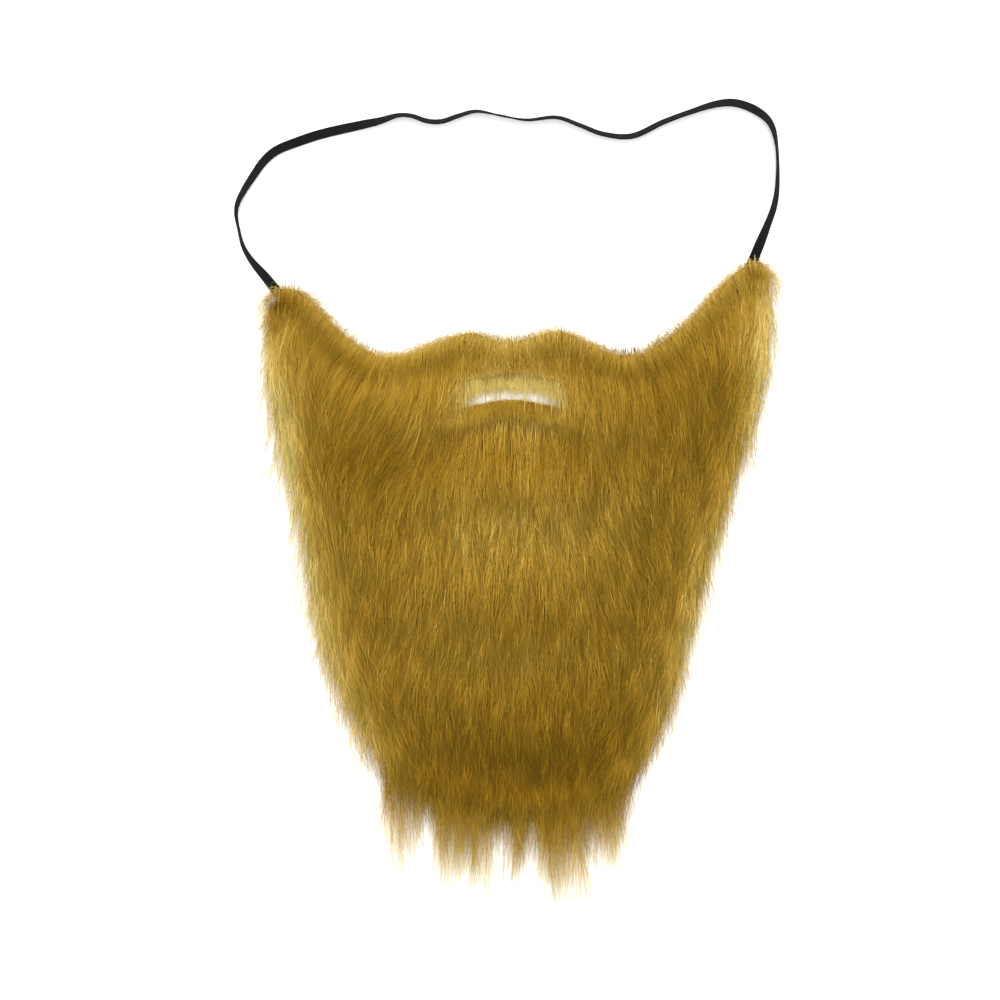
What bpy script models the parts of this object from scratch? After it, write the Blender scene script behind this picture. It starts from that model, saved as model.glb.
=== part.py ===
"""A costume beard of long-pile fur cloth with a mouth slot and one flat elastic, lying face up.

Metres, +Z up. The beard lies on the plane Z = 0 with its ear tips towards +Y and its chin towards
-Y. The origin is on the back of the cloth, on the beard's centre line, in the flat fold below its middle.
"""

import math
import random

import bmesh
import bpy

# Driving dimensions of the cloth and its fur
BEARD_WIDTH = 0.255  # across the outer corners of the ear tips
BEARD_LENGTH = 0.281  # from the ear tips to the lower edge of the dense fur
ORIGIN_SHARE = 0.625  # of the beard's length, from the ear tips down to the origin
CLOTH_THICKNESS = 0.0012
CLOTH_INSET = 0.005  # from the edge of the dense fur in to the cut edge of the cloth
CLEARANCE = 0.0003  # between pieces that touch
MAT_HEIGHT = 0.0105  # of the combed fur over the cloth, under its outer locks
MAT_EDGE_HEIGHT = 0.0035  # of the same fur at its edge
EDGE_ROLL = 0.034  # over which the fur rounds down to its edge
HANG = 0.012  # over which a lock comes down to the surface past the edge
GRID_STEP = 0.0135  # of the cloth's and the mat's meshes
SLAB_SHARE = 1.1  # of the beard's width and length that a slab covers before it is cut to an outline

# Driving dimensions of the locks of fur
LOCK_LENGTH = 0.060
LOCK_WIDTH = 0.018
LOCK_THICKNESS = 0.0070
LOCK_SEED = 12
LENGTH_SPREAD = 0.12  # random share of a lock's length
HEADING_SPREAD = 4.0  # random degrees of a lock's heading

# Driving dimensions of the mouth slot
MOUTH_WIDTH = 0.064
MOUTH_HEIGHT = 0.0185
MOUTH_ACROSS = -0.0045  # of its middle from the beard's centre line
MOUTH_DOWN = 0.0705  # of its middle below the ear tips
MOUTH_ROLL = 0.016  # over which the fur thins out to the slot
MOUTH_EDGE_HEIGHT = 0.0025  # of the fur at the slot

# Driving dimensions of the elastic
ELASTIC_WIDTH = 0.005
ELASTIC_THICKNESS = 0.0009
TIP_REACH = 0.012  # round each end of the elastic, where it lifts the cloth
TIP_FALL = 0.016  # over which that cloth comes down again

# The edge of the dense fur, clockwise from the left ear tip as seen from above.
# across: share of half the beard's width from the centre line, down: share of its length
EDGE = (
    # place, across, down
    ("left tip, outer corner", -1.00, 0.090),
    ("left tip, top", -0.90, 0.040),
    ("left cheek, upper", -0.67, 0.137),
    ("left cheek, hollow", -0.51, 0.174),
    ("left of the lip", -0.34, 0.150),
    ("left lip peak", -0.19, 0.130),
    ("under the nose", -0.05, 0.147),
    ("right lip peak", 0.16, 0.127),
    ("right of the lip", 0.31, 0.158),
    ("right cheek, hollow", 0.46, 0.168),
    ("right cheek, upper", 0.64, 0.114),
    ("right tip, inner", 0.82, 0.028),
    ("right tip, top", 0.96, 0.002),
    ("right tip, outer corner", 1.00, 0.040),
    ("right jaw, upper", 0.965, 0.200),
    ("right jaw, middle", 0.835, 0.410),
    ("right jaw, lower", 0.690, 0.640),
    ("right chin", 0.580, 0.820),
    ("right of the hem", 0.400, 0.950),
    ("hem, middle", 0.030, 1.000),
    ("left of the hem", -0.400, 0.945),
    ("left chin", -0.600, 0.835),
    ("left jaw, lower", -0.770, 0.660),
    ("left jaw, middle", -0.865, 0.440),
    ("left jaw, upper", -0.970, 0.220),
)

# The mouth slot, an arched crescent. across: share of half its width, up: share of its height
MOUTH_EDGE = (
    # place, across, up
    ("left corner", -1.00, -0.42),
    ("left, upper", -0.78, 0.18),
    ("top, left", -0.38, 0.48),
    ("top, right", 0.38, 0.48),
    ("right, upper", 0.78, 0.18),
    ("right corner", 1.00, -0.42),
    ("right, lower", 0.72, -0.36),
    ("lower lip, middle", 0.00, -0.15),
    ("left, lower", -0.72, -0.36),
)

# Low swells of the cloth, where it stands clear of the surface.
# across, reach_across: shares of half the width, down, reach_down: shares of the length
SWELLS = (
    # place, across, down, reach_across, reach_down, rise
    ("under the lip", -0.06, 0.480, 0.62, 0.108, 0.0055),
    ("chin", -0.04, 0.740, 0.50, 0.080, 0.0045),
    ("right cheek", 0.68, 0.300, 0.24, 0.130, 0.0035),
    ("left cheek", -0.66, 0.330, 0.24, 0.120, 0.0030),
)

# Tiers of locks, upper ones first. left, right: shares of half the width between which their roots
# lie, down_left, down_right: shares of the length where the tier starts and ends, length, width:
# shares of the lock length and width, fan_left, fan_right: headings of the first and last lock in
# degrees from straight down, positive towards +X
TIERS = (
    # place, left, right, down_left, down_right, count, length, width, fan_left, fan_right
    ("left tip", -0.90, -0.83, 0.110, 0.085, 2, 0.75, 0.80, -15, 4),
    ("right tip", 0.83, 0.915, 0.055, 0.045, 2, 0.75, 0.80, -4, 10),
    ("left cheek, upper", -0.885, -0.62, 0.190, 0.190, 4, 0.80, 1.00, -12, -8),
    ("right cheek, upper", 0.62, 0.885, 0.150, 0.140, 4, 0.80, 1.00, 0, 9),
    ("lip", -0.31, 0.28, 0.160, 0.160, 8, 0.36, 0.60, -12, 12),
    ("left cheek", -0.865, -0.34, 0.270, 0.225, 6, 1.00, 1.00, -7, -10),
    ("right cheek", 0.31, 0.85, 0.220, 0.250, 6, 1.00, 1.00, 6, 3),
    ("lower lip", -0.22, 0.18, 0.285, 0.285, 4, 0.72, 0.95, -4, 4),
    ("under the mouth", -0.825, 0.78, 0.340, 0.340, 14, 1.00, 1.00, -8, 5),
    ("upper chin", -0.775, 0.73, 0.440, 0.440, 13, 1.00, 1.00, -9, 5),
    ("middle chin", -0.735, 0.665, 0.550, 0.550, 12, 1.00, 1.00, -9, 6),
    ("lower chin", -0.685, 0.59, 0.660, 0.660, 11, 1.05, 1.00, -4, 8),
    ("under chin", -0.625, 0.51, 0.765, 0.765, 10, 1.05, 1.00, -1, 5),
    ("hem", -0.52, 0.455, 0.860, 0.860, 9, 1.00, 1.00, 0, -3),
)

# Long locks that hang past the hem. across: share of half the width, down: share of the length,
# length: share of the lock length, heading: degrees from straight down
FRINGE = (
    # across, down, length, heading
    (-0.50, 0.905, 0.97, -3),
    (-0.40, 0.930, 0.75, 2),
    (-0.31, 0.940, 0.92, 2),
    (-0.235, 0.945, 0.86, 0),
    (-0.155, 0.950, 0.93, -1),
    (0.00, 0.955, 0.76, 1),
    (0.105, 0.955, 0.90, 1),
    (0.165, 0.955, 0.80, 1),
    (0.21, 0.950, 1.23, 1),
    (0.335, 0.935, 0.78, 1),
    (0.42, 0.905, 0.72, -3),
)

# A lock's sections, from its root to its tip: shares of its length, width and thickness
LOCK_SECTIONS = (
    # along, width, thickness
    (0.00, 0.70, 0.60),
    (0.35, 1.00, 1.00),
    (0.70, 0.72, 0.80),
    (1.00, 0.10, 0.22),
)
LOCK_RING = (0, 60, 120, 180, 270)  # degrees round a section, flat side down
ROOT_DEPTH = 0.55  # of a lock's thickness that its root lies under the mat's surface
TIP_RISE = 0.30  # of a lock's thickness that its tip lies over the mat's surface

# Route of the elastic's middle line, from under the left ear tip round to under the right one.
# lean: degrees that the band is turned out of lying flat
ELASTIC_ROUTE = (
    # x, y, lean
    (-0.1115, 0.1440, 0),
    (-0.1215, 0.1565, 4),
    (-0.1270, 0.1635, 26),
    (-0.1338, 0.1715, 56),
    (-0.1382, 0.1790, 71),
    (-0.1404, 0.1875, 78),
    (-0.1417, 0.1950, 70),
    (-0.1408, 0.2010, 58),
    (-0.1375, 0.2075, 46),
    (-0.1330, 0.2145, 36),
    (-0.1280, 0.2215, 28),
    (-0.1215, 0.2270, 16),
    (-0.1105, 0.2315, 8),
    (-0.0980, 0.2355, 6),
    (-0.0800, 0.2395, 20),
    (-0.0705, 0.2415, 40),
    (-0.0610, 0.2443, 62),
    (-0.0540, 0.2440, 64),
    (-0.0465, 0.2415, 60),
    (-0.0390, 0.2413, 59),
    (-0.0310, 0.2440, 62),
    (-0.0215, 0.2463, 70),
    (-0.0090, 0.2440, 84),
    (0.0035, 0.2420, 74),
    (0.0180, 0.2433, 68),
    (0.0295, 0.2395, 64),
    (0.0415, 0.2350, 60),
    (0.0560, 0.2340, 54),
    (0.0715, 0.2410, 58),
    (0.0850, 0.2460, 58),
    (0.0980, 0.2500, 44),
    (0.1080, 0.2505, 32),
    (0.1185, 0.2465, 28),
    (0.1255, 0.2395, 48),
    (0.1283, 0.2270, 74),
    (0.1285, 0.2105, 66),
    (0.1270, 0.1995, 54),
    (0.1235, 0.1895, 44),
    (0.1185, 0.1770, 6),
    (0.1135, 0.1645, 0),
)
ELASTIC_STEPS = 2  # points of the band for each point of its route
EDGE_STEPS = 3  # points of an outline for each place in its table
CORNER_SHARE = 0.97  # of its distance that a point of an offset outline has to keep
WELD_SHARE = 0.03  # of the clearance, within which two points of a curve's mesh are one


def beard_point(across, down):
    """X and Y of a place given in shares of half the beard's width and of its length."""
    return across * BEARD_WIDTH / 2, (ORIGIN_SHARE - down) * BEARD_LENGTH


def smooth_path(points, steps, closed):
    """Points of a Catmull-Rom curve through the given ones."""
    count = len(points)
    spans = count if closed else count - 1
    path = []
    for span in range(spans):
        if closed:
            near = [points[(span + offset) % count] for offset in (-1, 0, 1, 2)]
        else:
            near = [points[min(max(span + offset, 0), count - 1)] for offset in (-1, 0, 1, 2)]
        for step in range(steps):
            t = step / steps
            weights = (
                -0.5 * t + t**2 - 0.5 * t**3,
                1 - 2.5 * t**2 + 1.5 * t**3,
                0.5 * t + 2 * t**2 - 1.5 * t**3,
                -0.5 * t**2 + 0.5 * t**3,
            )
            path.append(tuple(sum(w * p for w, p in zip(weights, axis)) for axis in zip(*near)))
    if not closed:
        path.append(points[-1])
    return path


def distance_to_run(x, y, start, end):
    """Distance from a point to the straight run between two others."""
    run_x, run_y = end[0] - start[0], end[1] - start[1]
    along = ((x - start[0]) * run_x + (y - start[1]) * run_y) / (run_x**2 + run_y**2)
    along = min(max(along, 0), 1)
    return math.hypot(x - start[0] - along * run_x, y - start[1] - along * run_y)


def depth_inside(outline, x, y):
    """Distance from a point to the outline, positive inside it and negative outside."""
    nearest = math.inf
    inside = False
    for index, (x_a, y_a) in enumerate(outline):
        x_b, y_b = outline[index - 1]
        nearest = min(nearest, distance_to_run(x, y, (x_a, y_a), (x_b, y_b)))
        if (y_a > y) != (y_b > y) and x < x_a + (y - y_a) / (y_b - y_a) * (x_b - x_a):
            inside = not inside
    return nearest if inside else -nearest


def offset_outline(outline, distance):
    """The closed clockwise outline moved outwards by a distance, or inwards by a negative one.

    A point that would come nearer to the outline than that, as in a tight corner, is left out.
    """
    moved = []
    for index, (x, y) in enumerate(outline):
        x_before, y_before = outline[index - 1]
        x_after, y_after = outline[(index + 1) % len(outline)]
        run_x, run_y = x_after - x_before, y_after - y_before
        run = math.hypot(run_x, run_y)
        spot = (x - run_y / run * distance, y + run_x / run * distance)
        if abs(depth_inside(outline, *spot)) > CORNER_SHARE * abs(distance):
            moved.append(spot)
    return moved


def ease(share):
    """A share from 0 to 1, held inside that range and eased at both ends."""
    share = min(max(share, 0), 1)
    return share * share * (3 - 2 * share)


FUR_EDGE = smooth_path([beard_point(across, down) for _, across, down in EDGE], EDGE_STEPS, True)
CLOTH_EDGE = offset_outline(FUR_EDGE, -CLOTH_INSET)
MOUTH_MIDDLE = (MOUTH_ACROSS, ORIGIN_SHARE * BEARD_LENGTH - MOUTH_DOWN)
MOUTH_OUTLINE = smooth_path(
    [
        (MOUTH_MIDDLE[0] + across * MOUTH_WIDTH / 2, MOUTH_MIDDLE[1] + up * MOUTH_HEIGHT)
        for _, across, up in MOUTH_EDGE
    ],
    EDGE_STEPS,
    True,
)
ELASTIC_ENDS = (ELASTIC_ROUTE[:2], ELASTIC_ROUTE[-2:])


def cloth_rise(x, y):
    """Height of the cloth's underside over the surface that the beard lies on."""
    rise = 0.0
    for _, across, down, reach_across, reach_down, height in SWELLS:
        middle_x, middle_y = beard_point(across, down)
        off_x = (x - middle_x) / (reach_across * BEARD_WIDTH / 2)
        off_y = (y - middle_y) / (reach_down * BEARD_LENGTH)
        rise = max(rise, height * ease(1 - math.hypot(off_x, off_y)))
    for start, end in ELASTIC_ENDS:
        away = distance_to_run(x, y, start, end) - TIP_REACH
        rise = max(rise, (ELASTIC_THICKNESS + CLEARANCE) * ease(1 - away / TIP_FALL))
    return rise


def mat_top(x, y):
    """Height of the fur's root mat, which comes down to nothing past its edge."""
    depth = depth_inside(FUR_EDGE, x, y)
    if depth < 0:
        return MAT_EDGE_HEIGHT * (1 - ease(-depth / HANG))
    at_mouth = ease(-depth_inside(MOUTH_OUTLINE, x, y) / MOUTH_ROLL)
    full = MOUTH_EDGE_HEIGHT + (MAT_HEIGHT - MOUTH_EDGE_HEIGHT) * at_mouth
    rolled = MAT_EDGE_HEIGHT + (full - MAT_EDGE_HEIGHT) * math.sin(min(depth / EDGE_ROLL, 1) * math.pi / 2)
    return cloth_rise(x, y) + CLOTH_THICKNESS + CLEARANCE + rolled


def put_in(collection, name, mesh, material=None):
    """A new object of a mesh in a collection."""
    made = bpy.data.objects.new(name, mesh)
    collection.objects.link(made)
    if material:
        mesh.materials.append(material)
    return made


def sheet_mesh(name, top, bottom):
    """A closed slab over the whole beard, between two heights given as functions of X and Y."""
    columns = math.ceil(BEARD_WIDTH * SLAB_SHARE / GRID_STEP)
    rows = math.ceil(BEARD_LENGTH * SLAB_SHARE / GRID_STEP)
    _, middle_y = beard_point(0, 0.5)
    mesh = bpy.data.meshes.new(name)
    shape = bmesh.new()
    bmesh.ops.create_grid(shape, x_segments=columns, y_segments=rows, size=0.5)
    for vertex in shape.verts:
        vertex.co.x = vertex.co.x * columns * GRID_STEP
        vertex.co.y = middle_y + vertex.co.y * rows * GRID_STEP
    bmesh.ops.triangulate(shape, faces=shape.faces[:])
    upper = shape.verts[:]
    extruded = bmesh.ops.extrude_face_region(shape, geom=shape.faces[:])
    lower = {item for item in extruded["geom"] if isinstance(item, bmesh.types.BMVert)}
    for vertex in upper:
        vertex.co.z = top(vertex.co.x, vertex.co.y)
    for vertex in lower:
        vertex.co.z = bottom(vertex.co.x, vertex.co.y)
    bmesh.ops.recalc_face_normals(shape, faces=shape.faces[:])
    shape.to_mesh(mesh)
    shape.free()
    return mesh


def curve_to_mesh(name, curve):
    """The closed mesh of a curve whose caps or fills are loose."""
    holder = bpy.data.objects.new(name + "_curve", curve)
    bpy.context.scene.collection.objects.link(holder)
    seen = holder.evaluated_get(bpy.context.evaluated_depsgraph_get())
    mesh = bpy.data.meshes.new_from_object(seen)
    mesh.name = name
    bpy.data.objects.remove(holder)
    shape = bmesh.new()
    shape.from_mesh(mesh)
    bmesh.ops.remove_doubles(shape, verts=shape.verts[:], dist=CLEARANCE * WELD_SHARE)
    bmesh.ops.recalc_face_normals(shape, faces=shape.faces[:])
    shape.to_mesh(mesh)
    shape.free()
    return mesh


def outline_prism(name, outline, height):
    """A straight-sided block of an outline that reaches the same height above and below Z = 0."""
    curve = bpy.data.curves.new(name, "CURVE")
    curve.dimensions = "2D"
    curve.fill_mode = "BOTH"
    curve.extrude = height
    spline = curve.splines.new("POLY")
    spline.points.add(len(outline) - 1)
    spline.use_cyclic_u = True
    for point, (x, y) in zip(spline.points, outline):
        point.co = (x, y, 0, 1)
    return curve_to_mesh(name, curve)


def band_mesh(name, grow):
    """The flat elastic along its route, with every face moved outwards by a distance."""
    curve = bpy.data.curves.new(name, "CURVE")
    curve.dimensions = "3D"
    curve.twist_mode = "Z_UP"
    curve.bevel_depth = ELASTIC_THICKNESS / 2 + grow
    curve.bevel_resolution = 0
    curve.extrude = (ELASTIC_WIDTH - ELASTIC_THICKNESS) / 2
    curve.use_fill_caps = True
    path = smooth_path(ELASTIC_ROUTE, ELASTIC_STEPS, False)
    spline = curve.splines.new("POLY")
    spline.points.add(len(path) - 1)
    for point, (x, y, lean) in zip(spline.points, path):
        angle = math.radians(lean)
        flat_half = (ELASTIC_WIDTH - ELASTIC_THICKNESS) / 2
        height = flat_half * math.sin(angle) + ELASTIC_THICKNESS / 2
        point.co = (x, y, height, 1)
        point.tilt = math.pi / 2 - angle
    return curve_to_mesh(name, curve)


def add_lock(shape, x, y, length, width, heading):
    """One tapered lock of fur, from its root in the mat to its tip, as closed faces."""
    turn = math.radians(heading)
    ahead_x, ahead_y = math.sin(turn), -math.cos(turn)
    rings = []
    for along, width_share, thickness in LOCK_SECTIONS:
        half_width = width_share * width / 2
        half_height = thickness * LOCK_THICKNESS / 2
        middle_x = x + ahead_x * length * along
        middle_y = y + ahead_y * length * along
        ride = LOCK_THICKNESS * (along * (ROOT_DEPTH + TIP_RISE) - ROOT_DEPTH)
        middle_z = max(mat_top(middle_x, middle_y) + ride, half_height + CLEARANCE)
        ring = []
        for degrees in LOCK_RING:
            side = half_width * math.cos(math.radians(degrees))
            up = half_height * math.sin(math.radians(degrees))
            spot = (middle_x - ahead_y * side, middle_y + ahead_x * side, middle_z + up)
            ring.append(shape.verts.new(spot))
        rings.append(ring)
    for ring, following in zip(rings, rings[1:]):
        for index in range(len(ring)):
            pair = (ring[index - 1], ring[index], following[index], following[index - 1])
            shape.faces.new(pair)
    shape.faces.new(rings[0])
    shape.faces.new(list(reversed(rings[-1])))


def tier_locks(tier, dice):
    """The locks of a tier: across, down, length, width and heading of each."""
    _, left, right, down_left, down_right, count, length, width, fan_left, fan_right = tier
    for index in range(count):
        share = index / (count - 1)
        yield (
            left + (right - left) * share,
            down_left + (down_right - down_left) * share,
            length * (1 + LENGTH_SPREAD * dice.uniform(-1, 1)),
            width,
            fan_left + (fan_right - fan_left) * share + HEADING_SPREAD * dice.uniform(-1, 1),
        )


def lock_passes(collection):
    """The locks, in one mesh for each pass over a tier, so that no lock meets another in its mesh."""
    dice = random.Random(LOCK_SEED)
    rows = [(tier[0], list(tier_locks(tier, dice))) for tier in TIERS]
    rows.append(("fringe", [(across, down, length, 1, turn) for across, down, length, turn in FRINGE]))
    for name, row in rows:
        for first in range(2):
            shape = bmesh.new()
            for across, down, length, width, heading in row[first::2]:
                x, y = beard_point(across, down)
                add_lock(shape, x, y, length * LOCK_LENGTH, width * LOCK_WIDTH, heading)
            bmesh.ops.recalc_face_normals(shape, faces=shape.faces[:])
            label = f"{name} locks {first}"
            mesh = bpy.data.meshes.new(label)
            shape.to_mesh(mesh)
            shape.free()
            put_in(collection, label, mesh)


def cut(target, operation, cutter, solver="EXACT"):
    """A Boolean of a target with a cutter object or with every object of a collection.

    EXACT leaves open edges where many locks meet, so the fur is cut by MANIFOLD.
    """
    boolean = target.modifiers.new(f"{operation.lower()} {cutter.name}", "BOOLEAN")
    boolean.operation = operation
    boolean.solver = solver
    if isinstance(cutter, bpy.types.Collection):
        boolean.operand_type = "COLLECTION"
        boolean.collection = cutter
    else:
        boolean.object = cutter


def keep_main_surface(target):
    """Applies a target's modifiers and drops the walls of voids that are closed in between locks."""
    seen = target.evaluated_get(bpy.context.evaluated_depsgraph_get())
    mesh = bpy.data.meshes.new_from_object(seen)
    shape = bmesh.new()
    shape.from_mesh(mesh)
    unseen = set(shape.verts)
    surfaces = []
    while unseen:
        surface = set()
        ahead = [next(iter(unseen))]
        while ahead:
            vertex = ahead.pop()
            if vertex in unseen:
                unseen.remove(vertex)
                surface.add(vertex)
                ahead.extend(edge.other_vert(vertex) for edge in vertex.link_edges)
        surfaces.append(surface)
    main_surface = max(surfaces, key=len)
    dropped = [vertex for vertex in shape.verts if vertex not in main_surface]
    bmesh.ops.delete(shape, geom=dropped, context="VERTS")
    shape.to_mesh(mesh)
    shape.free()
    target.modifiers.clear()
    target.data = mesh


def plain_material(name, color, roughness):
    """A soft material without metal."""
    material = bpy.data.materials.new(name)
    material.use_nodes = True
    surface = material.node_tree.nodes["Principled BSDF"]
    surface.inputs["Base Color"].default_value = (*color, 1)
    surface.inputs["Roughness"].default_value = roughness
    surface.inputs["Metallic"].default_value = 0
    return material


def make_backing_cloth(parts, cutters):
    """The knitted ground of the fur cloth, cut to the beard's outline."""
    cloth = sheet_mesh("backing_cloth", lambda x, y: cloth_rise(x, y) + CLOTH_THICKNESS, cloth_rise)
    knit = plain_material("knitted ground", (0.62, 0.47, 0.24), 0.9)
    made = put_in(parts, "backing_cloth", cloth, knit)
    cut(made, "INTERSECT", cutters["cloth outline"])
    cut(made, "DIFFERENCE", cutters["mouth slot"])


def make_fur_pile(parts, cutters, locks):
    """The combed fur: a root mat with locks fused to it, clear of the cloth and the elastic."""
    mat = sheet_mesh("fur_pile", mat_top, lambda x, y: 0)
    fur = plain_material("combed fur", (0.35, 0.19, 0.03), 0.7)
    made = put_in(parts, "fur_pile", mat, fur)
    cut(made, "INTERSECT", cutters["fur outline"], "MANIFOLD")
    cut(made, "UNION", locks, "MANIFOLD")
    for name in ("space for the cloth", "space for the elastic", "mouth slot"):
        cut(made, "DIFFERENCE", cutters[name], "MANIFOLD")
    keep_main_surface(made)


def make_elastic_band(parts):
    """The flat elastic from ear tip to ear tip."""
    woven = plain_material("woven elastic", (0.008, 0.010, 0.014), 0.6)
    put_in(parts, "elastic_band", band_mesh("elastic_band", 0), woven)


def make_cutters(collection):
    """The shapes that cut the cloth and the fur, by name."""
    tall = BEARD_WIDTH / 2
    cloth_space_edge = offset_outline(CLOTH_EDGE, CLEARANCE)
    meshes = {
        "cloth outline": outline_prism("cloth outline", CLOTH_EDGE, tall),
        "fur outline": outline_prism("fur outline", FUR_EDGE, tall),
        "mouth slot": outline_prism("mouth slot", MOUTH_OUTLINE, tall),
        "space for the cloth": sheet_mesh(
            "space for the cloth",
            lambda x, y: cloth_rise(x, y) + CLOTH_THICKNESS + CLEARANCE,
            lambda x, y: -CLOTH_THICKNESS,
        ),
        "cloth space outline": outline_prism("cloth space outline", cloth_space_edge, tall),
        "space for the elastic": band_mesh("space for the elastic", CLEARANCE),
    }
    made = {name: put_in(collection, name, mesh) for name, mesh in meshes.items()}
    cut(made["space for the cloth"], "INTERSECT", made["cloth space outline"])
    return made


def hide_helpers(*collections):
    """Leaves cutters out of a render and draws them as wires."""
    for collection in collections:
        for helper in collection.objects:
            helper.hide_render = True
            helper.display_type = "WIRE"


def main():
    """Builds the beard in an empty scene."""
    for old in list(bpy.data.objects):
        bpy.data.objects.remove(old)
    parts = bpy.data.collections.new("Costume beard")
    shapes = bpy.data.collections.new("Cutters")
    locks = bpy.data.collections.new("Locks")
    for collection in (parts, shapes, locks):
        bpy.context.scene.collection.children.link(collection)
    cutters = make_cutters(shapes)
    lock_passes(locks)
    make_backing_cloth(parts, cutters)
    make_fur_pile(parts, cutters, locks)
    make_elastic_band(parts)
    hide_helpers(shapes, locks)


main()
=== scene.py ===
"""Looks of a costume beard of long combed fur cloth, lying face up, its elastic laid out above it.

Metres, +Z up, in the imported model's own frame: the cloth lies on Z = 0, its ear tips towards +Y.
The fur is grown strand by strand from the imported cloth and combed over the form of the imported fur.
"""

import copy
import math

import bmesh
import bpy
import numpy as np
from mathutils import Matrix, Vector
from mathutils.bvhtree import BVHTree
from mathutils.kdtree import KDTree


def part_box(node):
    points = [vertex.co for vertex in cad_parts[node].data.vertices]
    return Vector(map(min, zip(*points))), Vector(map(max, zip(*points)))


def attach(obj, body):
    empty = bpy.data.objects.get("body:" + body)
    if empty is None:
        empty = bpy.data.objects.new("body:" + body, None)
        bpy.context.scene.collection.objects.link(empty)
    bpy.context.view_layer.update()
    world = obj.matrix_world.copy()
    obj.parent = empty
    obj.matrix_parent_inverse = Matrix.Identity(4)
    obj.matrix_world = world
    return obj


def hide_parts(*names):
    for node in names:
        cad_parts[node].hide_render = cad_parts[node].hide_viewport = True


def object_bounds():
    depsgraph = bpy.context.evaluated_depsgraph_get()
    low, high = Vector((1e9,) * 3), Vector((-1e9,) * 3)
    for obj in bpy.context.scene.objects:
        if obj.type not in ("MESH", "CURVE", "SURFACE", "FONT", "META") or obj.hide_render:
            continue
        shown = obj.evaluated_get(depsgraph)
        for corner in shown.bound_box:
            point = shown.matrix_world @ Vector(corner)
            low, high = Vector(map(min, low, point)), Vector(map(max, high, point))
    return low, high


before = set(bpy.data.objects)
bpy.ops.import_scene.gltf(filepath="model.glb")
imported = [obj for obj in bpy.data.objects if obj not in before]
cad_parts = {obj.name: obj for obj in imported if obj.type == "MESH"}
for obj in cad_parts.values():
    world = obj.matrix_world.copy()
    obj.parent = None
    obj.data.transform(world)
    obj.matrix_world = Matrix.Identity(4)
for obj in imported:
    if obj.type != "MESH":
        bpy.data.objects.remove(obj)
CAD_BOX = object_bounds()
CLOTH_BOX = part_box("backing_cloth")
FUR_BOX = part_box("fur_pile")

# The photograph's scale and the camera over it
PIXEL = 0.0005  # metres of the surface to one pixel of the photograph
ORIGIN_PIXEL = (520.0, 604.6)  # where the frame's origin lies in the photograph
PHOTO_SIDE = 1000  # pixels
CAMERA_HEIGHT = 1.25
SENSOR = 36.0  # millimetres

# The studio
SKY_COLOR = (1.0, 0.995, 0.985)
SKY_STRENGTH = 1.17
LIGHTS = (
    # name, place, aim, side, watts, colour
    ("key light", (0.55, 1.75, 2.30), (0, 0.02, 0), 1.50, 77.0, (1, 0.985, 0.96)),
    ("fill light", (-1.10, -0.90, 1.90), (0, 0, 0), 1.60, 24.0, (1, 0.99, 0.97)),
)
FLOOR_HALF = 2.5
FLOOR_GAP = 0.0001  # under the cloth, so that the two don't share a plane

# The dense fur, in shares of which every table below gives its places
PILE_OVERHANG = 0.005  # of the dense fur past the cloth's cut edge
BEARD_WIDTH = CLOTH_BOX[1].x - CLOTH_BOX[0].x + 2 * PILE_OVERHANG
BEARD_LENGTH = CLOTH_BOX[1].y - CLOTH_BOX[0].y + 2 * PILE_OVERHANG
BEARD_TOP = CLOTH_BOX[1].y + PILE_OVERHANG

# The elastic
ELASTIC_WIDTH = 0.005
ELASTIC_THICKNESS = 0.0009
ELASTIC_RIBS = 9  # cords across its width
RIB_DEPTH = 0.00012
BRAID_MAP = "braid"  # its own map: across it, and metres along it
BRAID_STEP = 0.0008  # between its crossing threads
LEAN_SIDE = -1  # the side to which a leaning band rises, as seen along its route
ELASTIC_STEPS = 8  # rings of the band for each point of its route

# Its route's middle line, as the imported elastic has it. lean: degrees out of lying flat
ELASTIC_ROUTE = (
    # x, y, lean
    (-0.1115, 0.1440, 0),
    (-0.1215, 0.1565, 4),
    (-0.1270, 0.1635, 26),
    (-0.1338, 0.1715, 56),
    (-0.1382, 0.1790, 71),
    (-0.1404, 0.1875, 78),
    (-0.1417, 0.1950, 70),
    (-0.1408, 0.2010, 58),
    (-0.1375, 0.2075, 46),
    (-0.1330, 0.2145, 36),
    (-0.1280, 0.2215, 28),
    (-0.1215, 0.2270, 16),
    (-0.1105, 0.2315, 8),
    (-0.0980, 0.2355, 6),
    (-0.0800, 0.2395, 20),
    (-0.0705, 0.2415, 40),
    (-0.0610, 0.2443, 62),
    (-0.0540, 0.2440, 64),
    (-0.0465, 0.2415, 60),
    (-0.0390, 0.2413, 59),
    (-0.0310, 0.2440, 62),
    (-0.0215, 0.2463, 70),
    (-0.0090, 0.2440, 84),
    (0.0035, 0.2420, 74),
    (0.0180, 0.2433, 68),
    (0.0295, 0.2395, 64),
    (0.0415, 0.2350, 60),
    (0.0560, 0.2340, 54),
    (0.0715, 0.2410, 58),
    (0.0850, 0.2460, 58),
    (0.0980, 0.2500, 44),
    (0.1080, 0.2505, 32),
    (0.1185, 0.2465, 28),
    (0.1255, 0.2395, 48),
    (0.1283, 0.2270, 74),
    (0.1285, 0.2105, 66),
    (0.1270, 0.1995, 54),
    (0.1235, 0.1895, 44),
    (0.1185, 0.1770, 6),
    (0.1135, 0.1645, 0),
)

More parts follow.
